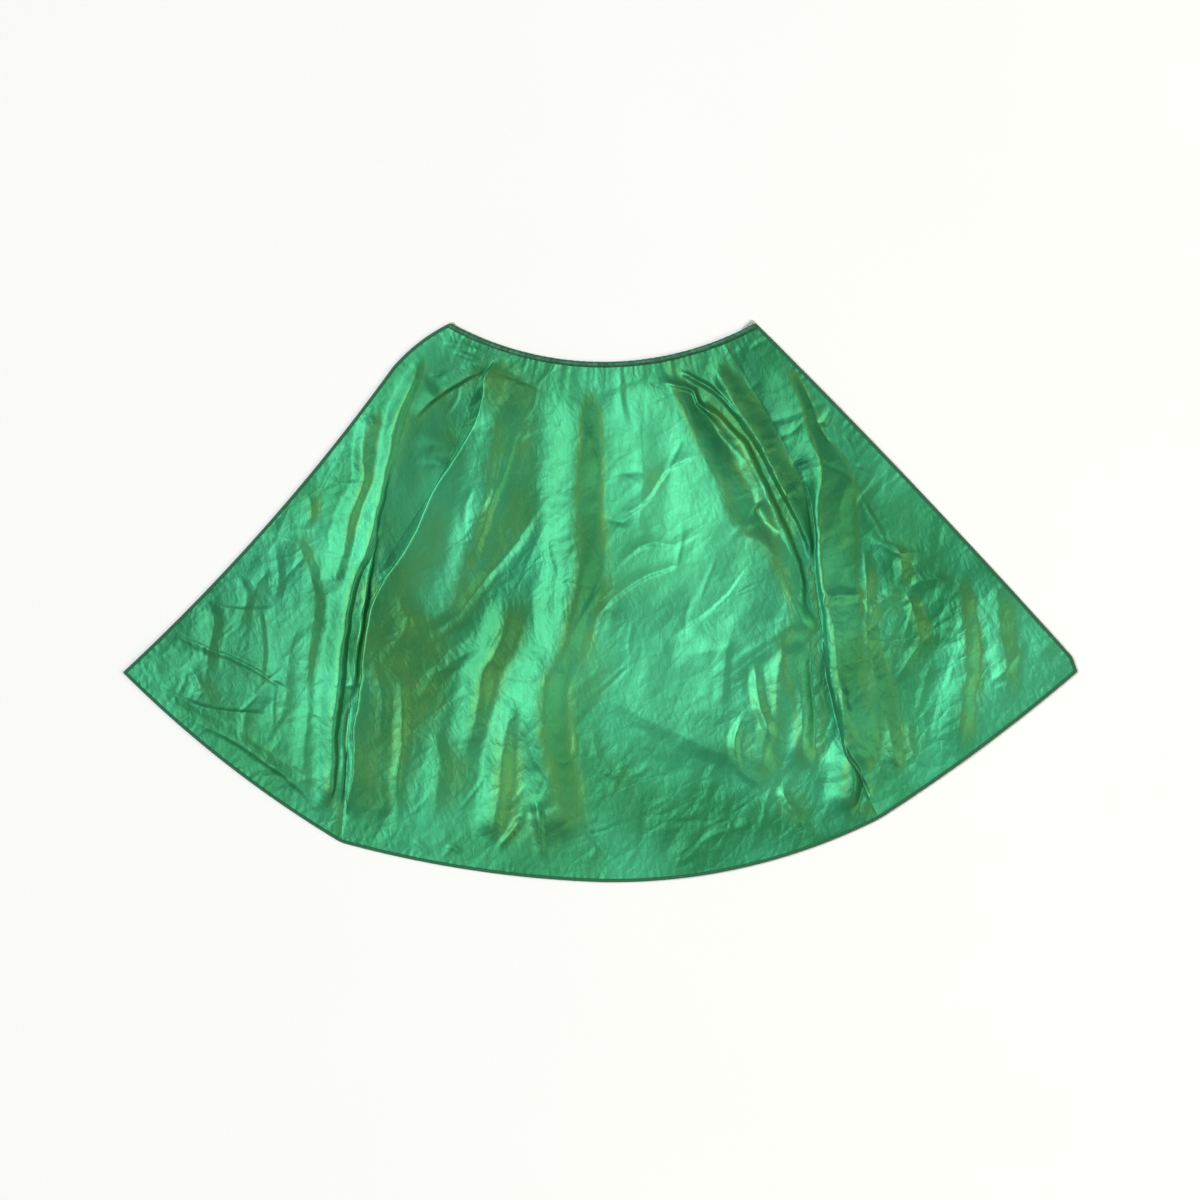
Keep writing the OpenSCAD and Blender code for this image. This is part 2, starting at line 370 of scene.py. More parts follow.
@dataclass(frozen=True)
class Crumple:
    """Many small creases left by packing, strewn over part of the cape.

    Attributes:
        seed: Picks the one arrangement that is used.
        count: The number of creases.
        low: The lower left corner of their patch.
        high: The upper right corner of their patch.
        heading: The mean direction of the creases, in degrees from +X.
        scatter: How far directions stray from the mean.
        length: Shortest and longest crease.
        height: Least and greatest height; some are turned into grooves.
        wall: Narrowest and widest wall.
    """

    seed: int
    count: int
    low: tuple[float, float]
    high: tuple[float, float]
    heading: float
    scatter: float
    length: tuple[float, float]
    height: tuple[float, float]
    wall: tuple[float, float]

    def folds(self) -> list[Fold]:
        """The creases, each as a fold of its own."""
        rng = np.random.default_rng(self.seed)
        out = []
        for _ in range(self.count):
            middle = rng.uniform(self.low, self.high)
            turn = math.radians(rng.normal(self.heading, self.scatter))
            half = rng.uniform(*self.length) / 2
            d = np.array([math.cos(turn), math.sin(turn)]) * half
            bow = left_of(d / half) * rng.normal(0, 0.12) * half
            h = rng.uniform(*self.height) * rng.choice([-0.7, 1.0])
            way = [(*(middle - d), h), (*(middle + bow), h), (*(middle + d), h)]
            right, left = rng.uniform(*self.wall), rng.uniform(*self.wall)
            out.append(Fold(way, right, left, rng.uniform(0.5, 0.95), 0.0, half * 0.8))
        return out


def laid_folds() -> list[Fold]:
    """The folds that make this cape's look, from its left front to its right one."""
    return [
        # The tall fold of the back over the left seam
        Fold([(-100, 254, 3, 6, 30), (-109, 240, 6, 8, 46), (-113, 214, 8, 9, 72), (-124, 182, 10, 9, 92),
              (-141, 148, 11, 9, 102), (-165, 110, 11, 9, 104), (-186, 69, 11, 9, 102),
              (-207, 30, 11, 9, 96), (-227, -3, 11, 9, 92), (-236, -41, 11, 9, 88), (-242, -83, 10, 9, 82),
              (-246, -125, 10, 9, 72), (-249, -167, 8, 8, 62), (-254, -205, 5, 7, 44),
              (-262, -235, 3, 6, 36)], 0, 0, 1.0, 8, 24, 1),
        # The floor of the hollow, falling towards it
        Fold([(-190, 246, 2, 14, 50), (-208, 206, 3, 20, 64), (-216, 156, 4, 24, 62),
              (-230, 100, 4, 26, 52), (-246, 54, 3, 26, 40), (-256, 26, 2, 24, 20)], 0, 0, 0.8, 0, 24),
        # A thin fold in the hollow beside it
        Fold([(-228, 84, 2, 4, 3), (-238, 51, 4, 7, 3), (-242, 28, 5, 12, 4), (-246, 0, 6, 15, 4),
              (-252, -36, 6, 14, 4), (-258, -70, 5, 10, 4), (-262, -100, 3, 8, 4)], 0, 0, 0.4, 1, 26, 1),
        # The two long folds of the left front
        Fold([(-187, 258, 2, 8, 6), (-194, 235, 3, 12, 7), (-203, 217, 3.5, 14, 8),
              (-213, 197, 3.5, 14, 10), (-219, 174, 3.5, 14, 10), (-221, 156, 3.5, 14, 8),
              (-225, 139, 4, 15, 8), (-230, 110, 4.5, 18, 8), (-238, 80, 5, 24, 8), (-248, 51, 6, 26, 9),
              (-258, 28, 7, 26, 8), (-264, 4, 8, 24, 8), (-269, -22, 8.5, 24, 8), (-274, -60, 9, 24, 8),
              (-277, -104, 9, 24, 8), (-281, -146, 8, 24, 8), (-285, -188, 6, 20, 8),
              (-288, -225, 3, 14, 7)], 0, 0, 0.4, -1, 26, 1),
        Fold([(-238, 210, 2, 8, 10), (-246, 190, 4, 12, 20), (-248, 152, 5, 13, 20), (-248, 124, 5, 16, 12),
              (-262, 86, 5, 20, 10), (-274, 43, 4, 18, 12), (-284, 4, 3, 16, 12)], 0, 0, 0.3, 0, 26),
        Fold([(-300, 20, 1.5), (-304, -40, 2.2), (-306, -110, 2.2), (-311, -170, 2), (-306, -214, 1)],
              16, 16, 0.5, 0, 40),
        # Creases in the deep hollow between the left folds
        Fold([(-196, 188, 1), (-174, 212, 2.4), (-150, 229, 2.6), (-116, 247, 2)], 4, 14, 0.5, 0, 20),
        Fold([(-200, 158, 0.6), (-174, 164, 1.5), (-146, 160, 2.2)], 12, 16, 0.2, 0, 24),
        Fold([(-196, 142, 0.4), (-172, 144, 1.1), (-152, 138, 1.6)], 7, 10, 0.2, 0, 18),
        Fold([(-172, 272, 0.8), (-140, 266, 1.4), (-108, 256, 1.4)], 6, 9, 0.4, 0, 16),
        Fold([(-160, 262, 0.6), (-140, 256, 1.2), (-120, 250, 1)], 5, 7, 0.4, 0, 16),
        # Broad folds of the back, left of its middle
        Fold([(-101, 222, 3), (-105, 180, 3), (-115, 127, 2.5), (-128, 75, 2.5), (-141, 32, 3),
              (-153, 0, 3), (-170, -42, 1)], 24, 30, 0.3, 0, 40),
        Fold([(-24, 238, 2), (-24, 169, 8), (-24, 100, 8), (-24, 40, 8), (-32, -10, 7), (-46, -52, 7),
              (-60, -83, 8), (-62, -115, 9), (-56, -156, 8), (-46, -209, 6), (-37, -258, 4)],
              44, 30, 0.0, 0, 36),
        Fold([(-90, 6, 3), (-107, -52, 6), (-122, -73, 6), (-128, -104, 6), (-137, -146, 4),
              (-147, -170, 2)], 26, 20, 0.4, 0, 30),
        Fold([(-92, -90, 3), (-99, -146, 6), (-106, -198, 6), (-117, -262, 4)], 24, 16, 0.4, 0, 30),
        Fold([(-78, -220, 2), (-96, -246, 3), (-108, -266, 2)], 6, 7, 0.8, 0, 16),
        Fold([(-70, -200, 2), (-62, -240, 3), (-58, -276, 2)], 9, 7, 0.8, 0, 16),
        # Broad folds of the back, right of its middle
        Fold([(66, 244, 3, 40, 14), (80, 212, 6, 60, 20), (101, 168, 9, 80, 25), (118, 133, 10, 90, 36),
              (130, 98, 11, 100, 42), (138, 80, 11, 110, 40), (152, 68, 11, 120, 28),
              (174, 59, 11, 130, 18), (188, 37, 11, 140, 15), (197, 13, 10, 140, 14),
              (206, -13, 9, 140, 13), (222, -38, 5, 130, 12)], 0, 0, 0.45, 0, 24, 0.5),
        Fold([(140, 72, 1), (158, 81, 1.6), (178, 91, 1)], 8, 9, 0.5, 0, 16),
        # The bundle of folds that runs down from the neck's right
        Fold([(66, 231, 1.5), (84, 225, 3), (97, 220, 3.5), (102, 207, 4), (115, 197, 4), (124, 188, 3)],
              4, 5, 0.5, 0, 14),
        Fold([(104, 210, 3, 6, 5), (121, 197, 4, 8, 5), (136, 182, 5, 13, 5), (150, 164, 6, 17, 6),
              (158, 145, 7, 17, 6), (171, 121, 7, 16, 6), (178, 104, 8, 15, 6), (183, 92, 8, 15, 6),
              (188, 80, 8, 16, 6), (196, 62, 8, 16, 6), (206, 36, 7, 14, 6), (210, 20, 6, 10, 6),
              (214, -8, 3, 8, 5)], 0, 0, 0.3, 1, 20, 1),
        Fold([(115, 250, 3, 10, 14), (133, 226, 5, 11, 20), (153, 194, 6, 9, 24), (171, 159, 6, 7, 24),
              (191, 121, 6, 6, 22), (206, 89, 6, 5, 14), (217, 63, 5, 5, 7), (222, 40, 3, 5, 5)],
              0, 0, 0.35, 1, 22, 0.6),
        Fold([(80, 244, 2), (107, 228, 3), (130, 213, 3), (150, 192, 2)], 5, 4, 0.5, 0, 14),
        # The tall fold of the right front over the right seam
        Fold([(190, 250, 2, 24, 10), (205, 214, 4, 36, 12), (216, 182, 6, 44, 14), (226, 160, 8, 34, 18),
              (233, 144, 9, 22, 26), (237, 98, 11, 15, 34), (240, 51, 12, 14, 34), (243, 7, 13, 14, 36),
              (246, -19, 13, 14, 38), (253, -57, 13, 15, 42), (260, -94, 12, 17, 46),
              (266, -130, 10, 16, 40), (268, -157, 7, 12, 26), (272, -180, 3, 8, 16)],
              0, 0, 0.35, 9, 24, 1),
        Fold([(204, -30, 2), (209, -62, 6), (210, -104, 8), (212, -146, 8), (217, -180, 4)],
              36, 13, 0.4, 0, 30, 0.8),
        Fold([(252, -140, 3), (262, -168, 9), (264, -200, 9), (256, -232, 5)], 32, 9, 0.4, 0, 24, 0.8),
        Fold([(164, -60, 2), (167, -104, 3), (173, -125, 4), (182, -150, 3)], 8, 9, 0.9, 0, 20),
        Fold([(150, -120, 2), (142, -150, 3.5), (146, -178, 3), (170, -194, 2)], 9, 8, 0.9, 0, 16),
        Fold([(188, -190, 2), (196, -214, 3), (220, -246, 3), (236, -248, 2)], 8, 9, 0.8, 0, 14),
        # Broad swells of the back
        Fold([(196, -20, 4), (190, -60, 8), (182, -110, 8), (172, -150, 6), (160, -200, 3)],
              180, 24, 0.6, 0, 40),
        Fold([(40, 230, 3), (44, 140, 4), (40, 40, 3)], 46, 30, 0.5, 0, 50),
        # The seams, as fine grooves
        Fold([(-262, -110, -1.2), (-265, -150, -1.6), (-268, -200, -1.8), (-272, -252, -1.4)],
              3.5, 3.5, 0.9, 0, 8),
        Fold([(256, -132, -1.2), (262, -160, -2.0), (271, -183, -2.2), (281, -204, -2.2),
              (292, -227, -1.6)], 3, 3, 0.9, 0, 8),
        # Packing creases of the back
        Fold([(20, 84, -0.9), (47, 104, -1.4), (60, 124, -1.7), (74, 138, -1.4), (104, 154, -0.9)],
              3.5, 12, 1.0, 0, 16),
        Fold([(0, 90, 0.9), (24, 82, 1.1), (34, 92, 0.6)], 7, 9, 0.8, 0, 14),
        Fold([(8, 128, 0.6), (38, 136, 0.9), (60, 124, 0.6)], 8, 8, 0.8, 0, 14),
        Fold([(-4, -16, -0.9), (21, 6, -1.6), (47, 27, -1.4), (86, 40, -0.7)], 3.5, 12, 1.0, 0, 16),
        Fold([(14, 36, -0.6), (47, 59, -1.1), (78, 60, -0.8), (107, 72, -0.6)], 3.5, 11, 1.0, 0, 16),
        Fold([(0, -100, 0.6), (42, -120, 1.4), (74, -135, 1.8), (105, -151, 1.9), (144, -171, 1.2)],
              14, 26, 0.95, 0, 20),
        Fold([(-21, -230, -0.9), (0, -258, -1.3), (15, -280, -0.9)], 6, 5, 0.9, 0, 14),
        Fold([(-10, -130, 0.7), (0, -170, 1.1), (16, -182, 1), (26, -160, 0.6)], 9, 9, 0.8, 0, 18),
        Fold([(-100, 170, 0.6), (-108, 120, 1.1), (-122, 70, 1.1), (-134, 40, 0.6)], 6, 6, 0.9, 0, 20),
        Fold([(-82, 186, 0.6), (-98, 132, 0.9), (-116, 96, 0.9), (-130, 80, 0.6)], 6, 6, 0.9, 0, 20),
        Fold([(-64, 96, -0.9), (-90, 60, -1.4), (-118, 24, -1.6), (-150, -14, -1.3), (-190, -40, -0.6)],
              10, 8, 0.8, 0, 26),
        Fold([(-196, -110, 0.9), (-176, -84, 1.8), (-150, -60, 1.8), (-112, -40, 1.2)], 10, 14, 0.9, 0, 24),
        Fold([(-206, -70, 1.2), (-204, -110, 2.4), (-206, -150, 2.4), (-212, -196, 1.8), (-216, -240, 1.2)],
              9, 10, 0.9, 0, 26),
        Fold([(-232, -60, 0.6), (-222, -110, 1.8), (-226, -150, 1.2)], 14, 9, 0.8, 0, 22),
        Fold([(-180, -120, 1.2), (-168, -170, 1.8), (-172, -230, 1.2)], 16, 14, 0.7, 0, 30),
        # Little waves over the left of the back's hem
        Fold([(-198, -250, 1.5), (-188, -256, 2.4), (-178, -266, 2)], 4, 5, 0.7, 0, 8),
        Fold([(-166, -256, 1.5), (-154, -258, 2.4), (-146, -268, 2)], 4, 5, 0.7, 0, 8),
        # Crisp packing lines of the left front
        Fold([(-452, -32, -1.2), (-388, -59, -2), (-325, -93, -1.2)], 14, 4, 1.0, 0, 14),
        Fold([(-428, 12, -1), (-392, -8, -1.4), (-340, -8, -1)], 12, 4, 1.0, 0, 14),
        Fold([(-356, -4, -1), (-350, -44, -1.4), (-352, -84, -1)], 4, 12, 1.0, 0, 14),
        Fold([(-478, -88, -1), (-420, -110, -1.6), (-348, -120, -1)], 12, 4, 1.0, 0, 14),
        Fold([(-462, -104, 1), (-400, -140, 1.8), (-330, -184, 1.8), (-290, -226, 1)], 5, 12, 1.0, 0, 16),
        Fold([(-432, -66, 1), (-420, -90, 2), (-424, -112, 1)], 8, 10, 0.9, 0, 12),
        # Facets of the left front
        Fold([(-452, -32, 0.6), (-420, -52, 1.4), (-378, -68, 1.7), (-326, -96, 1.1)], 30, 12, 0.95, 0, 20),
        Fold([(-430, -92, 0.6), (-390, -94, 1), (-336, -100, 0.8)], 26, 9, 0.95, 0, 20),
        Fold([(-418, 6, 0.8), (-404, -18, 1.7), (-410, -56, 1.7), (-414, -96, 1.1), (-396, -126, 0.6)],
              20, 12, 0.9, 0, 22),
        Fold([(-312, 4, 0.6), (-324, -50, 1.3), (-330, -96, 1.1), (-338, -140, 0.8)], 18, 13, 0.9, 0, 24),
        Fold([(-356, 70, 0.6), (-318, 60, 1.7), (-303, 30, 1.7), (-297, -12, 1.1)], 18, 10, 0.9, 0, 20),
        Fold([(-484, -90, 0.6), (-420, -126, 1.1), (-367, -157, 1.1), (-315, -198, 1.1), (-284, -236, 0.6)],
              14, 12, 0.85, 0, 26),
        Fold([(-312, 120, 0.6), (-304, 96, 1.7), (-307, 74, 1.1)], 12, 7, 0.9, 0, 16),
        Fold([(-468, -60, 0.6), (-462, -84, 1.1), (-440, -104, 0.6)], 10, 14, 0.9, 0, 16),
        Fold([(-378, 40, 0.6), (-372, 0, 1.1), (-382, -40, 0.6)], 10, 9, 0.9, 0, 20),
        Fold([(-340, 66, 0.6), (-336, 30, 1.1), (-344, -6, 0.6)], 9, 8, 0.9, 0, 20),
        Fold([(-366, -100, 0.6), (-376, -140, 1.1), (-372, -160, 0.6)], 12, 9, 0.9, 0, 18),
        Fold([(-330, -140, 0.6), (-350, -172, 1.1), (-348, -190, 0.6)], 10, 9, 0.9, 0, 18),
        # Facets of the right front
        Fold([(372, 30, 1.5), (381, -10, 3.8), (383, -60, 4.1), (380, -104, 4.1), (381, -150, 3),
              (374, -182, 1.5)], 36, 15, 0.3, 0, 26, 0.6),
        Fold([(414, 30, 0.8), (420, -10, 3), (424, -60, 3), (428, -112, 1.5)], 24, 18, 0.3, 0, 24),
        Fold([(452, 6, 0.8), (470, -28, 2.2), (486, -60, 2.2)], 32, 12, 0.3, 0, 20),
        Fold([(230, -14, 1.5), (248, 2, 3), (278, 5, 2.2)], 8, 10, 0.8, 0, 14),
        Fold([(276, 60, 0.8), (278, 20, 2.2), (282, -36, 2.2), (294, -94, 1.8), (300, -128, 0.8)],
              10, 12, 0.9, 0, 26),
        Fold([(320, 16, 1.5), (290, -4, 2.2), (282, -30, 1.1)], 9, 12, 0.9, 0, 16),
        Fold([(320, 16, 1.5), (312, 56, 1.8), (282, 60, 0.8)], 10, 10, 0.9, 0, 16),
        Fold([(320, 16, 1.5), (352, 24, 2.2), (372, 8, 0.8)], 12, 9, 0.9, 0, 16),
        Fold([(320, 16, 1.5), (334, -20, 2.2), (336, -44, 0.8)], 9, 9, 0.9, 0, 14),
        Fold([(352, -28, 0.8), (330, -52, 1.8), (308, -86, 0.8)], 9, 9, 0.9, 0, 18),
        Fold([(240, 60, 0.8), (246, 0, 1.5), (262, -80, 2.2), (266, -140, 1.5)], 7, 9, 0.8, 0, 30),
        Fold([(298, -110, 0.8), (306, -150, 2.5), (318, -186, 1.5)], 10, 13, 0.9, 0, 22),
        Fold([(322, -120, 0.8), (330, -160, 1.8), (350, -176, 0.8)], 12, 9, 0.9, 0, 18),
        Fold([(262, 142, 1.5), (256, 96, 1.8), (262, 40, 0.8)], 16, 12, 0.7, 0, 26),
        Fold([(226, 190, 0.8), (236, 188, 2.1), (246, 208, 0.8)], 6, 7, 0.8, 0, 10),
        Fold([(276, 70, 0.8), (310, 52, 1.7), (344, 52, 0.8)], 9, 9, 0.9, 0, 18),
        Fold([(156, 262, 0.9), (178, 278, 0.9)], 5, 5, 0.8, 0, 10),
    ]


@dataclass(frozen=True)
class Facets:
    """A net of straight creases with flat cloth between them, as packing leaves.

    Attributes:
        seed: Picks the one arrangement that is used.
        pitch: Usual distance between creases.
        height: How far the corners of the net stand up or sink.
        stretch: How much longer the creases are than they are apart.
        heading: The direction they run, in degrees from +X.
        bend: How far the net is pulled about.
    """

    seed: int
    pitch: float
    height: float
    stretch: float
    heading: float
    bend: float

    def lift(self, points: Array) -> Array:
        """How far the facets lift points of the cloth."""
        a = math.radians(self.heading)
        turned = np.stack(
            [
                (points[:, 0] * math.cos(a) + points[:, 1] * math.sin(a)) / self.stretch,
                -points[:, 0] * math.sin(a) + points[:, 1] * math.cos(a),
            ],
            axis=-1,
        )
        q = (turned + self.bend * drift_both(turned, self.pitch * 1.9, self.seed + 1)) / self.pitch
        skew = (q[:, 0] + q[:, 1]) * 0.366
        cell = np.floor(q + skew[:, None]).astype(int)
        f = q + skew[:, None] - cell
        corner = np.random.default_rng(self.seed).uniform(-1, 1, (64, 64))
        over = f[:, 0] > f[:, 1]
        i, j = cell[:, 0], cell[:, 1]
        near = corner[i % 64, j % 64]
        side = np.where(over, corner[(i + 1) % 64, j % 64], corner[i % 64, (j + 1) % 64])
        far = corner[(i + 1) % 64, (j + 1) % 64]
        more, less = f.max(1), f.min(1)
        swell = np.clip(0.75 + 0.8 * drift(turned, self.pitch * 3.1, self.seed + 3), 0.1, 1.4)
        return self.height * swell * (near * (1 - more) + side * (more - less) + far * less)


def drift(points: Array, pitch: float, seed: int) -> Array:
    """Smooth random values over the plane.

    Args:
        points: The points, as x and y.
        pitch: Roughly the distance from one rise to the next.
        seed: Picks the one arrangement that is used.

    Returns:
        A value from about -1 to 1 for each point.
    """
    rng = np.random.default_rng(seed)
    size = 64
    angle = rng.uniform(0, 2 * math.pi, (size, size))
    slope = np.stack([np.cos(angle), np.sin(angle)], axis=-1)
    q = points / pitch + rng.uniform(0, size, 2)
    cell = np.floor(q).astype(int)
    f = q - cell
    ease = f * f * f * (f * (f * 6 - 15) + 10)
    corner = {}
    for i in (0, 1):
        for j in (0, 1):
            g = slope[(cell[:, 0] + i) % size, (cell[:, 1] + j) % size]
            corner[i, j] = g[:, 0] * (f[:, 0] - i) + g[:, 1] * (f[:, 1] - j)
    low = corner[0, 0] * (1 - ease[:, 0]) + corner[1, 0] * ease[:, 0]
    high = corner[0, 1] * (1 - ease[:, 0]) + corner[1, 1] * ease[:, 0]
    return 1.5 * (low * (1 - ease[:, 1]) + high * ease[:, 1])


def drift_both(points: Array, pitch: float, seed: int) -> Array:
    """Smooth random shifts over the plane, as x and y; see drift."""
    return np.stack([drift(points, pitch, seed), drift(points, pitch, seed + 1)], axis=-1)


FACETS = [
    Facets(21, 62.0, 1.7, 1.9, 80.0, 22.0),
    Facets(31, 34.0, 0.75, 1.6, 118.0, 13.0),
    Facets(41, 19.0, 0.34, 1.4, 62.0, 8.0),
    Facets(51, 9.5, 0.16, 1.5, 96.0, 4.0),
]


CRUMPLES = [
    Crumple(11, 34, (-270, -270), (270, 240), 70, 34, (50, 150), (0.4, 1.1), (5, 13)),
    Crumple(12, 20, (-480, -220), (-250, 200), 70, 40, (40, 130), (0.4, 1.1), (5, 14)),
    Crumple(13, 24, (240, -200), (480, 220), 85, 40, (40, 140), (0.4, 1.1), (5, 14)),
    Crumple(14, 70, (-270, -280), (270, 240), 50, 40, (20, 80), (0.35, 0.8), (2.6, 6)),
    Crumple(15, 34, (-490, -230), (-250, 210), 20, 60, (20, 80), (0.35, 0.8), (2.6, 6)),
    Crumple(16, 34, (240, -220), (490, 220), 110, 60, (20, 80), (0.35, 0.8), (2.6, 6)),
]


@dataclass(frozen=True)
class Spot:
    """A stretch of the cape where something is more or less than elsewhere."""

    middle: tuple[float, float]
    reach: tuple[float, float]
    amount: float

    def over(self, points: Array) -> Array:
        """How much there is at each point, which is amount in the middle."""
        pulled = points + 9 * drift_both(points, 55, 91)
        off = np.linalg.norm((pulled - self.middle) / self.reach, axis=1)
        return self.amount * (1 - smoothstep(0.35, 1.15, off))


# How much more crumpled the cloth is than elsewhere
CRUSHED = [
    Spot((90.0, -20.0), (110.0, 150.0), -0.45),
    Spot((-180.0, 120.0), (55.0, 140.0), -0.75),
    Spot((-190.0, 235.0), (50.0, 50.0), -0.5),
    Spot((190.0, 230.0), (70.0, 70.0), -0.35),
    Spot((30.0, 140.0), (70.0, 90.0), -0.35),
    Spot((300.0, 120.0), (80.0, 90.0), -0.4),
    Spot((330.0, -60.0), (100.0, 110.0), 0.25),
    Spot((-150.0, -150.0), (120.0, 100.0), 0.2),
]


# Painted light and shade: spots where the satin's colour is lightened towards its lit colour, or darkened
# towards its shaded colour where the amount is below 0
PAINTED_LIGHT_SPOTS = [
    Spot((105.0, -20.0), (125.0, 190.0), 0.9),
    Spot((60.0, 160.0), (70.0, 90.0), 0.5),
    Spot((-45.0, 60.0), (34.0, 230.0), 0.35),
    Spot((195.0, -150.0), (60.0, 100.0), 0.7),
    Spot((452.0, -62.0), (105.0, 95.0), 1.1),
    Spot((-90.0, -140.0), (60.0, 130.0), 0.3),
    Spot((-162.0, 218.0), (40.0, 46.0), -0.7),
    Spot((-186.0, 162.0), (34.0, 50.0), -0.75),
    Spot((-206.0, 106.0), (26.0, 50.0), -0.75),
    Spot((-226.0, 56.0), (20.0, 44.0), -0.6),
    Spot((-158.0, 258.0), (60.0, 30.0), -0.4),
    Spot((-122.0, 130.0), (30.0, 100.0), 0.5),
    Spot((-165.0, 40.0), (46.0, 80.0), 0.8),
    Spot((100.0, 204.0), (20.0, 36.0), -0.8),
    Spot((124.0, 150.0), (22.0, 42.0), -0.8),
    Spot((144.0, 104.0), (20.0, 28.0), -0.7),
    Spot((150.0, 236.0), (24.0, 36.0), -0.8),
    Spot((184.0, 186.0), (18.0, 44.0), -0.8),
    Spot((208.0, 130.0), (12.0, 40.0), -0.6),
    Spot((214.0, 50.0), (12.0, 60.0), -0.7),
    Spot((-375.0, -40.0), (130.0, 150.0), -0.6),
    Spot((-300.0, -190.0), (70.0, 70.0), -0.3),
    Spot((310.0, 100.0), (90.0, 90.0), -0.3),
    Spot((290.0, -90.0), (60.0, 120.0), -0.4),
    Spot((40.0, -240.0), (180.0, 55.0), -0.4),
]


class Relief:
    """The height and sideways shift of the laid cloth everywhere.

    Attributes:
        rest: Height of flat cloth.
        lowest: Height of the deepest hollow.
        highest: Height of the tallest crest.
        settling: How sharply a hollow levels out on the table.
    """

    rest: float = 2.4
    lowest: float = 0.5
    highest: float = 17.5
    settling: float = 1.6

    def __init__(self, cut: Cut) -> None:
        """Gather the folds and the outline.

        Args:
            cut: The cape's outline.
        """
        self.cut = cut
        self.folds = laid_folds() + [f for c in CRUMPLES for f in c.folds()]
        self.hem = joined(cut.left_hem(), cut.back_hem(), cut.right_hem())
        self.fronts = [cut.left_front(), cut.right_front()]
        self.neck = cut.neck()

    def at(self, points: Array) -> Array:
        """Where points of the flat cloth come to lie.

        Args:
            points: The points, as x and y in millimetres.

        Returns:
            Their places, as x, y and z in millimetres.
        """
        rise, shift = np.zeros(len(points)), np.zeros((len(points), 2))
        wander = points + 3.0 * drift_both(points, 62, 71) + 0.8 * drift_both(points, 17, 73)
        for fold in self.folds:
            up, over = fold.lift(wander)
            rise += up
            shift += over
        rise *= 1 + 0.1 * drift(points, 40, 75)
        rise += self.crush(points) * sum(facets.lift(wander) for facets in FACETS)
        hem_off, hem_along = from_edge(points, self.hem, 60)
        neck_off, neck_along = from_edge(points, self.neck, 140)
        calm = self.freedom(hem_off, 0.25, 2, 46) * self.freedom(neck_off, 0.3, 2, 26)
        pucker = np.exp(-hem_off / 6) * self.ripple(hem_along, 8.5, 0.34)
        for front in self.fronts:
            off, along = from_edge(points, front, 60)
            calm *= self.freedom(off, 0.3, 1, 22)
            pucker += np.exp(-off / 6) * self.ripple(along + 400, 9.5, 0.36)
        below = np.maximum(neck_off - 4, 0)
        gathers = np.exp(-below / 14) * self.ripple(neck_along, 5.9, 0.2)
        gathers += np.exp(-below / 26) * self.ripple(neck_along + 70, 14.5, 0.4)
        z = self.rest + rise * calm + pucker + gathers
        z = self.lowest + np.logaddexp(0, (z - self.lowest) * self.settling) / self.settling
        z = np.minimum(z, self.highest)
        return np.concatenate([points + shift * calm[:, None], z[:, None]], axis=1)

    @staticmethod
    def freedom(off: Array, least: float, start: float, end: float) -> Array:
        """How free the cloth is near a sewn edge, which holds it down.

        Args:
            off: Distance from the edge.
            least: The share of its folds that is left at the edge.
            start: Where the share begins to grow.
            end: Where it is whole.

        Returns:
            The share at each point.
        """
        return least + (1 - least) * smoothstep(start, end, off)

    @staticmethod
    def crush(points: Array) -> Array:
        """How crumpled the cloth is at each point, against the usual."""
        return np.maximum(1 + sum(spot.over(points) for spot in CRUSHED), 0.15)

    @staticmethod
    def ripple(s: Array, pitch: float, size: float) -> Array:
        """Uneven waves along an edge.

        Args:
            s: Distance along the edge.
            pitch: Usual distance between waves.
            size: Usual height of a wave.

        Returns:
            The height at each place.
        """
        line = np.stack([s, np.zeros(len(s))], axis=-1)
        swell = np.clip(0.5 + 1.2 * drift(line, 47, 81) + 0.8 * drift(line, 13, 82), 0.05, 1.6)
        slip = 2.6 * drift(line, 31, 83)
        return size * swell * np.sin(2 * math.pi * s / pitch + slip)


# ---------------------------------------------------------------------------
# Shaders
# ---------------------------------------------------------------------------


class Wire:
    """A socket of a node, with arithmetic that adds Math nodes."""

    def __init__(self, recipe: "Recipe", socket: bpy.types.NodeSocket) -> None:
        """Hold a socket.

        Args:
            recipe: The material it belongs to.
            socket: The output socket.
        """
        self.recipe = recipe
        self.socket = socket

    def _math(self, operation: str, *terms: "Wire | float") -> "Wire":
        """A Math node on terms."""
        return self.recipe.add("ShaderNodeMath", {"operation": operation}, dict(enumerate(terms)))

    def __add__(self, other: "Wire | float") -> "Wire":
        """self + other."""
        return self._math("ADD", self, other)

    __radd__ = __add__

    def __mul__(self, other: "Wire | float") -> "Wire":
        """self * other."""
        return self._math("MULTIPLY", self, other)

    __rmul__ = __mul__

    def __sub__(self, other: "Wire | float") -> "Wire":
        """self - other."""
        return self._math("SUBTRACT", self, other)

    def __rsub__(self, other: float) -> "Wire":
        """other - self."""
        return self._math("SUBTRACT", other, self)

    def wave(self, count: float) -> "Wire":
        """A sine of self, from 0 to 1, with count waves to each unit."""
        return self._math("SINE", self * (2 * math.pi * count)) * 0.5 + 0.5

    def between(self, low: float, high: float) -> "Wire":
        """0 below low and 1 above high, with a smooth rise."""
        inputs = {"Value": self, "From Min": low, "From Max": high}
        return self.recipe.add("ShaderNodeMapRange", {"interpolation_type": "SMOOTHSTEP"}, inputs, "Result")


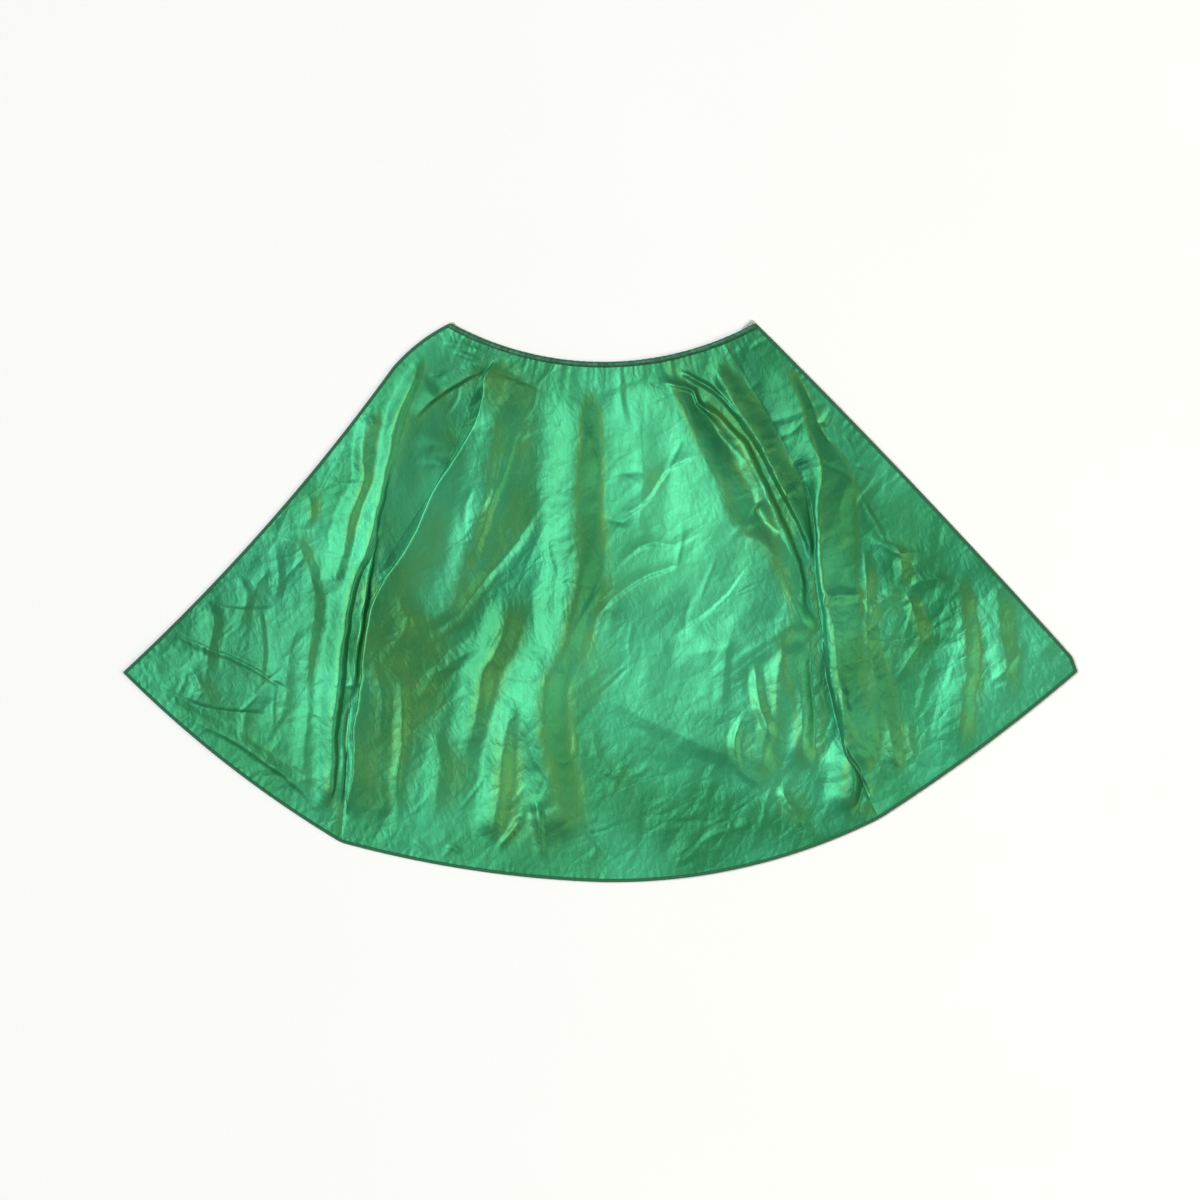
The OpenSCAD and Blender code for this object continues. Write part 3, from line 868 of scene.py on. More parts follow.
class Recipe:
    """A material that is being put together."""

    def __init__(self, name: str) -> None:
        """Start an empty material.

        Args:
            name: Its name.
        """
        self.material = bpy.data.materials.new(name)
        self.material.use_nodes = True
        self.tree = self.material.node_tree
        self.tree.nodes.clear()

    def add(
        self,
        kind: str,
        settings: dict[str, object] | None = None,
        inputs: dict[str | int, object] | None = None,
        output: str | int = 0,
    ) -> Wire:
        """Add a node.

        Args:
            kind: The node's type.
            settings: Its own settings, which are set first.
            inputs: Values or links for its sockets.
            output: The socket that is wanted.

        Returns:
            The wanted output.
        """
        node = self.tree.nodes.new(kind)
        for key, value in (settings or {}).items():
            setattr(node, key, value)
        for key, value in (inputs or {}).items():
            socket = node.inputs[key]
            if isinstance(value, Wire):
                self.tree.links.new(value.socket, socket)
            elif isinstance(value, (tuple, list)) and len(value) == 3 and len(socket.default_value) == 4:
                socket.default_value = (*value, 1)
            else:
                socket.default_value = value
        return Wire(self, node.outputs[output])

    def cloth(self) -> tuple[Wire, Wire]:
        """The cloth's own two directions, in metres across and along the weave."""
        split = self.add("ShaderNodeSeparateXYZ", None, {0: self.weave_map()})
        return split, Wire(self, split.socket.node.outputs[1])

    def weave_map(self) -> Wire:
        """The map "weave", in metres of flat cloth."""
        return self.add("ShaderNodeUVMap", {"uv_map": "weave"})

    def painted(self, name: str) -> Wire:
        """A value that the mesh holds for each of its points."""
        return self.add("ShaderNodeAttribute", {"attribute_name": name}, None, "Fac")

    def place(self, scale: tuple[float, float, float] = (1, 1, 1), uv: bool = False) -> Wire:
        """Object coordinates in metres, or the weave's, stretched by scale."""
        source = self.weave_map() if uv else self.add("ShaderNodeTexCoord", None, None, "Object")
        return self.add("ShaderNodeMapping", None, {"Vector": source, "Scale": scale})

    def noise(self, where: Wire, scale: float, detail: float = 3.0, rough: float = 0.55) -> Wire:
        """Soft noise over a place."""
        inputs = {"Vector": where, "Scale": scale, "Detail": detail, "Roughness": rough}
        return self.add("ShaderNodeTexNoise", None, inputs)

    def crumple(self, scale: float, stretch: float, turn: float, warp: float) -> Wire:
        """Small flat facets with crisp creases between them, over the weave's map.

        Args:
            scale: Facets to the metre.
            stretch: How many times longer than wide they are.
            turn: The direction of their long side, in degrees.
            warp: How far the creases are bent, as a share of a facet.

        Returns:
            The height, in facets.
        """
        facet = {
            "Vector": self.weave_map(),
            "Rotation": (0, 0, math.radians(turn)),
            "Scale": (stretch / scale, 1 / scale, 1),
        }
        turned = self.add("ShaderNodeMapping", {"vector_type": "TEXTURE"}, facet)
        pull = self.add("ShaderNodeTexNoise", None, {"Vector": turned, "Scale": 0.55, "Detail": 2.0}, "Color")
        bent = {0: pull, 1: (warp,) * 3, 2: turned}
        moved = self.add("ShaderNodeVectorMath", {"operation": "MULTIPLY_ADD"}, bent)
        cells = {"Vector": moved, "Scale": 1.0}
        return self.add("ShaderNodeTexVoronoi", {"feature": "DISTANCE_TO_EDGE"}, cells)

    def mix(self, share: Wire | float, a: object, b: object) -> Wire:
        """A colour between a and b."""
        return self.add("ShaderNodeMix", {"data_type": "RGBA"}, {0: share, 6: a, 7: b}, 2)

    def bump(
        self, height: Wire, distance: float, strength: float = 1.0, under: Wire | None = None
    ) -> Wire:
        """A normal bent by a height, over the normal under it."""
        inputs: dict[str | int, object] = {"Height": height, "Distance": distance, "Strength": strength}
        if under is not None:
            inputs["Normal"] = under
        return self.add("ShaderNodeBump", None, inputs)

    def finish(self, **sockets: object) -> bpy.types.Material:
        """Close the material with a Principled shader.

        Args:
            **sockets: Its sockets' values or links, with _ for a space.

        Returns:
            The material.
        """
        inputs = {key.replace("_", " "): value for key, value in sockets.items()}
        shader = self.add("ShaderNodeBsdfPrincipled", None, inputs)
        out = self.tree.nodes.new("ShaderNodeOutputMaterial")
        self.tree.links.new(shader.socket, out.inputs["Surface"])
        return self.material


@dataclass(frozen=True)
class Satin:
    """Glossy green polyester satin with a mint shine, and painted light, painted shade and a painted olive
    shade in its colour.
    """

    deep: Colour = (0.012, 0.205, 0.072)
    bright: Colour = (0.034, 0.35, 0.17)
    # Painted shade colour, olive, for slopes that lean away from the key light
    painted_shade_olive: Colour = (0.1, 0.29, 0.06)
    # Painted light and painted shade colours, laid on spot by spot
    lit: Colour = (0.06, 0.44, 0.215)
    shaded: Colour = (0.01, 0.16, 0.068)

    def make(self) -> bpy.types.Material:
        """The satin's material."""
        r = Recipe("green_satin")
        broad = r.noise(r.place((1, 1, 1)), 7.0, 2.0)
        streak = r.noise(r.place((420, 9, 1), uv=True), 1.0, 2.0, 0.6)
        return r.finish(
            Base_Color=self.colour(r, broad, streak),
            Metallic=0.6,
            Roughness=0.37 + 0.12 * streak + 0.05 * broad,
            Normal=self.surface(r),
            Anisotropic=0.4,
            Specular_IOR_Level=0.55,
            Sheen_Weight=0.15,
            Sheen_Roughness=0.4,
            Sheen_Tint=(0.5, 1.0, 0.75),
        )

    def colour(self, r: Recipe, broad: Wire, streak: Wire) -> Wire:
        """The satin's colour, with painted light and shade, a painted olive shade and its streaks.

        Args:
            r: The material.
            broad: Slow changes over the cape.
            streak: Streaks along the thread.

        Returns:
            The colour.
        """
        nap = r.painted("nap")
        colour = r.mix(broad.between(0.35, 0.68), self.deep, self.bright)
        # Painted light, then painted shade, spot by spot
        colour = r.mix(nap.between(0.0, 1.0) * 0.75, colour, self.lit)
        colour = r.mix((0.0 - nap).between(0.0, 1.0) * 0.65, colour, self.shaded)
        # Painted olive shade on slopes that lean away from the key light
        colour = r.mix(r.painted("tone") * 0.52, colour, self.painted_shade_olive)
        return r.mix((streak - 0.35) * 0.35, colour, self.bright)

    def surface(self, r: Recipe) -> Wire:
        """The normal, bent by three sizes of crumple and by the weave."""
        across, along = r.cloth()
        crush = r.painted("crush")
        patchy = (r.noise(r.place((1, 1, 1), uv=True), 11.0, 2.0).between(0.3, 0.7) + 0.2) * crush
        weave = across.wave(2600) * 0.5 + along.wave(900) * 0.3
        fine = r.noise(r.place((900, 160, 1), uv=True), 1.0, 2.0)
        normal = r.bump(r.crumple(24, 2.2, 70, 1.6) * patchy, 0.0019, 1.0)
        normal = r.bump(r.crumple(58, 1.9, 40, 1.4) * patchy, 0.0009, 1.0, normal)
        normal = r.bump(r.crumple(130, 1.8, 110, 1.2) * crush, 0.00042, 1.0, normal)
        return r.bump(weave * 0.4 + fine * 0.6, 0.00012, 0.6, normal)


@dataclass(frozen=True)
class Overlock:
    """Dark green overlocking: loops of thread laid side by side."""

    thread: Colour = (0.006, 0.085, 0.035)
    light: Colour = (0.012, 0.15, 0.06)
    pitch: float = 760.0

    def make(self, name: str) -> bpy.types.Material:
        """The thread's material, under the given name."""
        r = Recipe(name)
        across, along = r.cloth()
        ply = (along * 1.0 + across * 0.9).wave(self.pitch)
        fuzz = r.noise(r.place(), 900.0, 3.0)
        colour = r.mix(ply * 0.6 + fuzz * 0.4, self.thread, self.light)
        normal = r.bump(ply * 0.7 + fuzz * 0.3, 0.0004, 0.7)
        return r.finish(Base_Color=colour, Roughness=0.6 + 0.2 * fuzz, Normal=normal)


@dataclass(frozen=True)
class BoundStrip:
    """The dark green satin strip folded over the neck edge."""

    deep: Colour = (0.005, 0.085, 0.034)
    bright: Colour = (0.012, 0.16, 0.07)

    def make(self) -> bpy.types.Material:
        """The strip's material."""
        r = Recipe("binding_satin")
        across, along = r.cloth()
        crease = r.noise(r.place((60, 240, 1), uv=True), 1.0, 3.0)
        weave = (across + along).wave(2200)
        colour = r.mix(crease.between(0.3, 0.7), self.deep, self.bright)
        normal = r.bump(crease, 0.0008, 0.6)
        normal = r.bump(weave, 0.00006, 0.4, normal)
        rough = 0.36 + 0.15 * crease
        return r.finish(Base_Color=colour, Metallic=0.3, Roughness=rough, Normal=normal, Sheen_Weight=0.3)


@dataclass(frozen=True)
class Tape:
    """Grey hook or loop tape."""

    base: Colour = (0.36, 0.35, 0.34)
    worn: Colour = (0.55, 0.54, 0.52)

    def make(self, name: str, shine: float) -> bpy.types.Material:
        """The tape's material.

        Args:
            name: Its name.
            shine: Its least roughness.

        Returns:
            The material.
        """
        r = Recipe(name)
        fuzz = r.noise(r.place(), 1400.0, 4.0)
        rows = r.add("ShaderNodeSeparateXYZ", None, {0: r.place((1, 1, 1))}).wave(900)
        colour = r.mix(fuzz * 0.7 + rows * 0.3, self.base, self.worn)
        normal = r.bump(fuzz, 0.0004, 0.6)
        return r.finish(Base_Color=colour, Roughness=shine + 0.15 * fuzz, Normal=normal, Sheen_Weight=0.3)


@dataclass(frozen=True)
class Table:
    """The plain pale surface under the cape."""

    pale: Colour = (0.86, 0.86, 0.86)

    def make(self) -> bpy.types.Material:
        """The table's material."""
        r = Recipe("pale_table")
        shade = r.noise(r.place(), 3.0, 2.0)
        colour = r.mix(shade, self.pale, tuple(c * 1.03 for c in self.pale))
        return r.finish(Base_Color=colour, Roughness=0.8)


# ---------------------------------------------------------------------------
# Meshes
# ---------------------------------------------------------------------------


def new_piece(
    name: str, points: Array, faces: list[tuple[int, ...]], material: bpy.types.Material
) -> bpy.types.Object:
    """A smooth-shaded mesh object.

    Args:
        name: The piece's name.
        points: Its points in millimetres.
        faces: Its faces as indices.
        material: Its finish.

    Returns:
        The object, linked to the scene.
    """
    mesh = bpy.data.meshes.new(name)
    mesh.from_pydata((points * MM).tolist(), [], faces)
    mesh.materials.append(material)
    mesh.polygons.foreach_set("use_smooth", [True] * len(mesh.polygons))
    mesh.update()
    piece = bpy.data.objects.new(name, mesh)
    bpy.context.scene.collection.objects.link(piece)
    return piece


def lay_weave(piece: bpy.types.Object, flat: Array) -> None:
    """Give a piece the UV map "weave", in metres of flat cloth.

    Args:
        piece: The piece.
        flat: A place in millimetres for each of its points.
    """
    mesh = piece.data
    layer = mesh.uv_layers.new(name="weave")
    corner = np.zeros(len(mesh.loops), int)
    mesh.loops.foreach_get("vertex_index", corner)
    layer.data.foreach_set("uv", (flat[corner] * MM).astype(np.float32).ravel())


def grid_faces(rows: int, columns: int, around: bool = False) -> list[tuple[int, int, int, int]]:
    """The four-sided faces of a grid of points.

    Args:
        rows: Points along the grid.
        columns: Points across it.
        around: Whether the last column joins the first.

    Returns:
        The faces.
    """
    faces = []
    wide = columns if around else columns - 1
    for i in range(rows - 1):
        for j in range(wide):
            k = (j + 1) % columns
            faces.append((i * columns + j, i * columns + k, (i + 1) * columns + k, (i + 1) * columns + j))
    return faces


@dataclass
class Panel:
    """One panel of satin, as a sheet with its folds.

    Attributes:
        name: The sheet's name.
        top: Its edge in the neckline, from its left to its right.
        bottom: Its edge at the hem, from its left to its right.
        left: Its left side from the neck down.
        right: Its right side from the neck down.
        across: Points across it.
        down: Points down it.
        flat: Width and length of the piece of cloth it is cut from; not used.
        area: The cut's own area in square metres; not used.
    """

    name: str
    top: Array
    bottom: Array
    left: Array
    right: Array
    across: int
    down: int
    flat: tuple[float, float]
    area: float

    def grid(self) -> Array:
        """The panel's points as it lies, before its folds."""
        u, v = np.linspace(0, 1, self.across), np.linspace(0, 1, self.down)
        top, bottom = spread(self.top, u), spread(self.bottom, u)
        left, right = spread(self.left, v), spread(self.right, v)
        uu, vv = np.meshgrid(u, v)
        uu, vv = uu[..., None], vv[..., None]
        sides = (1 - uu) * left[:, None] + uu * right[:, None]
        ends = (1 - vv) * top[None] + vv * bottom[None]
        top_corners = (1 - uu) * top[0] + uu * top[-1]
        bottom_corners = (1 - uu) * bottom[0] + uu * bottom[-1]
        corners = (1 - vv) * top_corners + vv * bottom_corners
        return (sides + ends - corners).reshape(-1, 2)

    def build(self, relief: Relief, material: bpy.types.Material) -> bpy.types.Object:
        """Make the sheet.

        Args:
            relief: How the cloth lies.
            material: The satin.

        Returns:
            The sheet.
        """
        points = self.grid()
        faces = [f[::-1] for f in grid_faces(self.down, self.across)]
        piece = new_piece(self.name, relief.at(points), faces, material)
        lay_weave(piece, points)
        # Painted light and shade by spot, and a painted olive shade where the cloth leans away from the key
        # light, weaker under the painted shade
        nap = sum(spot.over(points) for spot in PAINTED_LIGHT_SPOTS)
        tone = self.painted_shade_share(piece, points) * (1 - 0.75 * np.clip(-nap, 0, 1))
        for key, values in {"tone": tone, "crush": relief.crush(points), "nap": nap}.items():
            layer = piece.data.attributes.new(key, "FLOAT", "POINT")
            layer.data.foreach_set("value", values.astype(np.float32))
        return piece

    def painted_shade_share(self, piece: bpy.types.Object, points: Array) -> Array:
        """How much painted olive shade the satin gets at each point, from how far it leans away from the key
        light.

        Args:
            piece: The sheet.
            points: Its points as it lies, before its folds.

        Returns:
            A share for each point, mottled, and least where the cloth is steep.
        """
        normals = np.zeros(len(points) * 3, np.float32)
        piece.data.vertices.foreach_get("normal", normals)
        away = np.maximum(normals.reshape(self.down, self.across, 3)[:, :, 0], 0)
        lean = broad(away, 9).ravel()
        mottle = np.clip(0.9 + 0.5 * drift(points, 38, 95) + 0.35 * drift(points, 15, 96), 0.2, 1.3)
        return mottle * smoothstep(0.0, 0.15, lean) * (1 - 0.85 * smoothstep(0.12, 0.26, lean))


def broad(values: Array, reach: int) -> Array:
    """Values over a grid, each averaged with its neighbours up to reach away."""
    out = values
    for axis in (0, 1):
        edges = [(reach, reach) if a == axis else (0, 0) for a in (0, 1)]
        padded = np.pad(out, edges, mode="edge")
        total = sum(np.roll(padded, k, axis) for k in range(-reach, reach + 1)) / (2 * reach + 1)
        out = total[reach:-reach, :] if axis == 0 else total[:, reach:-reach]
    return out


@dataclass
class Band:
    """A narrow band that follows a line on the cape.

    Attributes:
        name: Its name.
        path: Its middle line, as x, y and z.
        width: Its width.
        height: Its thickness.
        step: Distance between its rings.
        rib: Distance between thread ribs, or 0 for none.
        depth: How deep the ribs are, as a share of the band.
    """

    name: str
    path: Array
    width: float
    height: float
    step: float = 0.6
    rib: float = 0.0
    depth: float = 0.12

    def build(self, material: bpy.types.Material) -> bpy.types.Object:
        """Make the band as a closed tube with flattened sides."""
        s = lengths(self.path)
        count = max(4, int(s[-1] / self.step))
        at = np.linspace(0, s[-1], count)
        middle = np.stack([np.interp(at, s, self.path[:, k]) for k in range(3)], axis=-1)
        ahead = np.gradient(middle, axis=0)
        across = unit(np.stack([-ahead[:, 1], ahead[:, 0], np.zeros(count)], axis=-1))
        up = unit(np.cross(unit(ahead), across))
        up = np.where(up[:, 2:] < 0, -up, up)
        sides = 10
        angle = 2 * math.pi * np.arange(sides) / sides
        wide = np.sign(np.cos(angle)) * np.abs(np.cos(angle)) ** 0.75
        tall = np.sign(np.sin(angle)) * np.abs(np.sin(angle)) ** 0.75
        swell = np.ones(count)
        if self.rib:
            swell += self.depth * np.sin(2 * math.pi * at / self.rib)
        ends = np.minimum(1, np.minimum(at, s[-1] - at) / (self.height * 0.8) + 0.35)
        points = (
            middle[:, None]
            + across[:, None] * (wide * self.width / 2)[None, :, None] * (swell * ends)[:, None, None]
            + up[:, None] * (tall * self.height / 2)[None, :, None] * (swell * ends)[:, None, None]
        ).reshape(-1, 3)
        faces: list[tuple[int, ...]] = list(grid_faces(count, sides, True))
        faces += [tuple(range(sides))[::-1], tuple(range((count - 1) * sides, count * sides))]
        piece = new_piece(self.name, points, faces, material)
        round_about = np.tile(np.arange(sides) * self.width / sides * 2, count)
        lay_weave(piece, np.stack([round_about, np.repeat(at, sides)], axis=-1))
        face_out(piece)
        return piece


def face_out(piece: bpy.types.Object) -> None:
    """Turn a closed mesh's faces outwards."""
    mesh = bmesh.new()
    mesh.from_mesh(piece.data)
    bmesh.ops.recalc_face_normals(mesh, faces=mesh.faces)
    mesh.to_mesh(piece.data)
    mesh.free()


@dataclass
class StitchRow:
    """Stitches laid end to end along a line.

    Attributes:
        name: The row's name.
        paths: The lines they follow, as x, y and z.
        pitch: Distance from one stitch to the next.
        length: Length of a stitch.
        width: Thickness of the thread.
    """

    name: str
    paths: list[Array]
    pitch: float = 4.2
    length: float = 3.2
    width: float = 0.75

    def build(self, material: bpy.types.Material) -> bpy.types.Object:
        """Make every stitch as a short tapered capsule."""
        rings, sides = 5, 6
        t = np.linspace(-1, 1, rings)
        swell = np.sqrt(np.clip(1 - 0.85 * t * t, 0, 1))
        angle = 2 * math.pi * np.arange(sides) / sides
        points, faces, weave = [], [], []
        for path in self.paths:
            s = lengths(path)
            count = max(1, int(s[-1] / self.pitch))
            for k in range(count):
                at = (k + 0.5) * s[-1] / count + t * self.length / 2
                middle = np.stack([np.interp(at, s, path[:, c]) for c in range(3)], axis=-1)
                ahead = unit(middle[-1] - middle[0])
                across = unit(np.array([-ahead[1], ahead[0], 0.0]))
                up = np.cross(ahead, across)
                start = len(points) * rings * sides
                ring = (np.cos(angle)[:, None] * across + np.sin(angle)[:, None] * up) * self.width / 2
                points.append((middle[:, None] + ring[None] * swell[:, None, None]).reshape(-1, 3))
                weave.append(np.stack([np.tile(angle, rings), np.repeat(at, sides)], axis=-1))
                faces += [tuple(start + i for i in f) for f in grid_faces(rings, sides, True)]
                faces += [tuple(start + i for i in range(sides))[::-1]]
                faces += [tuple(start + (rings - 1) * sides + i for i in range(sides))]
        piece = new_piece(self.name, np.concatenate(points), faces, material)
        lay_weave(piece, np.concatenate(weave))
        face_out(piece)
        return piece


class Side(Enum):
    """A side of the cape, seen from above."""

    LEFT = -1
    RIGHT = 1


@dataclass
class Patch:
    """A hook or loop patch under one end of the neckline.

    Attributes:
        side: Which end.
        hooks: Whether it is the hook half.
        tip: The end of the neckline.
        angle: Direction of its long side, in degrees.
        peek: How far its corner shows past the tip.
        length: Length of the tape.
        width: Width of the tape.
        tape: Thickness of the tape.
        top: Height of its upper face.
        corner: Radius of its corners.
        stitch_inset: How far its stitches are from its edge.
    """

    side: Side
    hooks: bool
    tip: tuple[float, float]
    angle: float
    peek: float
    length: float = 24.0
    width: float = 16.0
    tape: float = 0.9
    top: float = 1.75
    corner: float = 2.0
    stitch_inset: float = 2.2

    @property
    def label(self) -> str:
        """The CAD node that the patch stands for."""
        return "hook_patch" if self.hooks else "loop_patch"

    @property
    def name(self) -> str:
        """The patch's own name."""
        return "hook_tape_patch" if self.hooks else "loop_tape_patch"

    def to_cape(self, local: Array) -> Array:
        """Move points drawn with the patch's corner at the origin to the tip.

        Args:
            local: Points with x along the patch, y across it and z up.

        Returns:
            The points on the cape.
        """
        a = math.radians(self.angle)
        x = local[:, 0] - self.peek
        y = local[:, 1] * -self.side.value
        c, s = math.cos(a), math.sin(a)
        return np.stack([x * c - y * s, x * s + y * c, local[:, 2]], axis=-1) + np.array([*self.tip, 0.0])

    def outline(self) -> Array:
        """The patch's rounded outline."""
        r = self.corner
        far, high = self.length - r, self.width - r
        out = []
        for centre, start in (((far, high), 0), ((r, high), 90), ((r, r), 180), ((far, r), 270)):
            a = np.radians(start + np.arange(0, 91, 15))
            out.append(np.array(centre) + r * np.stack([np.cos(a), np.sin(a)], axis=-1))
        return np.concatenate(out)

    def build(self, tape: bpy.types.Material, thread: bpy.types.Material) -> list[bpy.types.Object]:
        """Make the patch and its stitches.

        Args:
            tape: The tape's finish.
            thread: The stitches' finish.

        Returns:
            The patch and its stitching.
        """
        ring = self.outline()
        count = len(ring)
        low = self.top - self.tape
        middle = ring.mean(0)
        layers = [(0.93, low), (1.0, low + 0.15), (1.0, self.top - 0.15), (0.95, self.top)]
        points = [np.column_stack([middle + (ring - middle) * k, np.full(count, z)]) for k, z in layers]
        faces: list[tuple[int, ...]] = list(grid_faces(len(layers), count, True))
        faces += [tuple(range(count))[::-1], tuple(range((len(layers) - 1) * count, len(layers) * count))]
        base = np.concatenate(points)
        grip, grip_faces = self.grip(low, len(base))
        piece = new_piece(self.name, self.to_cape(np.concatenate([base, grip])), faces + grip_faces, tape)
        face_out(piece)
        lines = self.stitch_lines(low - 0.12) + self.stitch_lines(self.top + 0.02)
        row = StitchRow(self.name + "_stitches", lines, pitch=3.6, length=2.8, width=0.6)
        stitches = row.build(thread)
        return [piece, stitches]

    def stitch_lines(self, height: float) -> list[Array]:
        """The four sides of the box of stitches, at a height."""
        i = self.stitch_inset
        far, high = self.length - i, self.width - i
        box = [(i, i, height), (far, i, height), (far, high, height), (i, high, height), (i, i, height)]
        return [self.to_cape(np.array(box[k:k + 2])) for k in range(4)]

    def grip(self, low: float, start: int) -> tuple[Array, list[tuple[int, ...]]]:
        """The field of hooks or loops under the tape.

        Args:
            low: Height of the tape's lower face.
            start: Number of points before these.

        Returns:
            The points and faces of the field.
        """
        rng = np.random.default_rng(5 if self.hooks else 6)
        points, faces = [], []
        pitch = 1.5 if self.hooks else 1.15
        inside = self.stitch_inset + 1.0
        t = np.linspace(0, 1, 5)
        for x in np.arange(inside, self.length - inside, pitch):
            for y in np.arange(inside, self.width - inside, pitch):
                px, py = x + rng.uniform(-0.2, 0.2), y + rng.uniform(-0.2, 0.2)
                turn = 0.0 if self.hooks else rng.uniform(0, math.pi)
                bend = t * (2.6 if self.hooks else math.pi)
                reach = 0.34 if self.hooks else 0.45
                side = reach * (1 - np.cos(bend)) - (0 if self.hooks else reach)
                drop = low + 0.05 - 0.72 * np.sin(np.minimum(bend, 2.4))
                line = np.stack([px + side * math.cos(turn), py + side * math.sin(turn), drop], axis=-1)
                w = 0.11
                across = np.array([-math.sin(turn), math.cos(turn), 0]) * w
                at = start + sum(len(p) for p in points)
                thick = np.array([0.0, 0.0, 1.0]) * w
                tube = np.stack([line + across, line + thick, line - across, line - thick], axis=1)
                points.append(tube.reshape(-1, 3))
                faces += [tuple(at + i for i in f) for f in grid_faces(len(t), 4, True)]
                faces += [(at + 3, at + 2, at + 1, at), tuple(at + (len(t) - 1) * 4 + i for i in range(4))]
        return np.concatenate(points), faces


# ---------------------------------------------------------------------------
# The cape
# ---------------------------------------------------------------------------


@dataclass
class Cape:
    """The whole cape.

    Attributes:
        cut: Its outline.
        edge: Width of the overlocked edge.
        binding: Width of the neck binding.
        seam_gap: Width of cloth that a seam takes from each panel.
        tucked: How far the panels' top edge is inside the binding's outline.
        hemmed: How far their other edges are inside the cape's outline.
    """

    cut: Cut = field(default_factory=Cut)
    edge: float = 3.6
    binding: float = 6.0
    seam_gap: float = 0.15
    tucked: float = 3.4
    hemmed: float = 1.4

    def __post_init__(self) -> None:
        """Set up the relief and the finishes."""
        self.relief = Relief(self.cut)
        self.satin = Satin().make()
        self.thread = Overlock().make("overlock_thread")
        self.strip = BoundStrip().make()

    def seat(self, piece: bpy.types.Object, side: Side | None, slot: str, *nodes: str) -> bpy.types.Object:
        """Ride a piece of the back on its body, or bake a front piece's transform into its mesh.

        Args:
            piece: The piece.
            side: None for a piece of the back, else the front it belongs to.
            slot: Its material slot; not used.
            nodes: The nodes it stands for.

        Returns:
            The piece.
        """
        if side is None:
            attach(piece, "back")
        else:
            turn = self.cut.left_turn if side is Side.LEFT else self.cut.right_turn
            a, b = (np.array(p) for p in turn)
            out = left_of(unit(b - a)) * side.value
            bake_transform(piece)
        if nodes:
            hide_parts(*nodes)
        LOG.info("%s: %d faces", piece.name, len(piece.data.polygons))
        return piece

    def panels(self) -> None:
        """Make the three panels of satin."""
        cut = self.cut
        neck = inset(cut.neck(), self.tucked)
        left_seam, right_seam = cut.left_seam(), cut.right_seam()
        first = int(np.argmin(np.linalg.norm(neck - left_seam[0], axis=1)))
        last = int(np.argmin(np.linalg.norm(neck - right_seam[0], axis=1)))
        left_seam[0], right_seam[0] = neck[first], neck[last]
        edge = self.hemmed
        back_hem = inset(cut.back_hem(), -edge)
        left_hem, right_hem = inset(cut.left_hem(), -edge), inset(cut.right_hem(), -edge)
        left_front, right_front = inset(cut.left_front(), -edge), inset(cut.right_front(), edge)
        back_hem[0], back_hem[-1] = left_seam[-1], right_seam[-1]
        left_hem[-1], right_hem[0] = left_seam[-1], right_seam[-1]
        left_hem[0] = left_front[-1]
        right_hem[-1] = right_front[-1]
        left_front[0], right_front[0] = neck[0], neck[-1]
        gap = self.seam_gap
        back = Panel(
            "back_sheet", neck[first:last + 1], back_hem, inset(left_seam, -gap), inset(right_seam, gap),
            across=326, down=302, flat=(0.66, 0.56), area=0.285,
        )
        left = Panel(
            "left_sheet", neck[:first + 1], left_hem, left_front, inset(left_seam, gap),
            across=220, down=400, flat=(0.34, 0.56), area=0.084,
        )
        right = Panel(
            "right_sheet", neck[last:], right_hem, inset(right_seam, -gap), right_front,
            across=220, down=400, flat=(0.34, 0.56), area=0.082,
        )
        for panel, side, nodes in (
            (back, None, ["back_panel"]),
            (left, Side.LEFT, ["left_side_panel", "left_gathers"]),
            (right, Side.RIGHT, ["right_side_panel", "right_gathers"]),
        ):
            piece = panel.build(self.relief, self.satin)
            self.seat(piece, side, "satin", *nodes)

    def laid(self, path: Array, lift: float, lowest: float) -> Array:
        """A line in the plane, laid on the cloth.

        Args:
            path: The line, as x and y.
            lift: How far above the cloth it is.
            lowest: The least height of the line, which keeps it off the table.

        Returns:
            The line as x, y and z.
        """
        fine = spread(path, np.linspace(0, 1, max(8, int(lengths(path)[-1] / 1.5))))
        out = self.relief.at(fine)
        out[:, 2] = np.maximum(out[:, 2] + lift, lowest)
        return out

    def edges(self) -> None:
        """Make the overlocked hem and front edges."""
        cut = self.cut
        half = self.edge / 2
        runs = [
            ("back_hem", cut.back_hem(), -half, None, ["back_hem_edge"]),
            ("left_hem", cut.left_hem(), -half, Side.LEFT, ["left_hem_edge"]),
            ("right_hem", cut.right_hem(), -half, Side.RIGHT, ["right_hem_edge"]),
            ("left_front", cut.left_front(), -half, Side.LEFT, ["left_front_edge", "left_tip_edge"]),
            ("right_front", cut.right_front(), half, Side.RIGHT, ["right_front_edge", "right_tip_edge"]),
        ]
        for name, path, inwards, side, nodes in runs:
            line = self.laid(inset(path, inwards), -0.2, 0.6)
            band = Band(name + "_thread", line, self.edge, height=1.7, step=0.62, rib=1.9, depth=0.14)
            self.seat(band.build(self.thread), side, "thread", *nodes)

    def seams(self) -> None:
        """Make the two panel seams."""
        for name, path, node in (
            ("left_seam_thread", self.cut.left_seam(), "left_panel_seam"),
            ("right_seam_thread", self.cut.right_seam(), "right_panel_seam"),
        ):
            line = self.laid(path, -1.1, 0.15)
            band = Band(name, line, width=2.6, height=1.0, step=0.9, rib=2.6, depth=0.1)
            self.seat(band.build(self.thread), None, "thread", node)

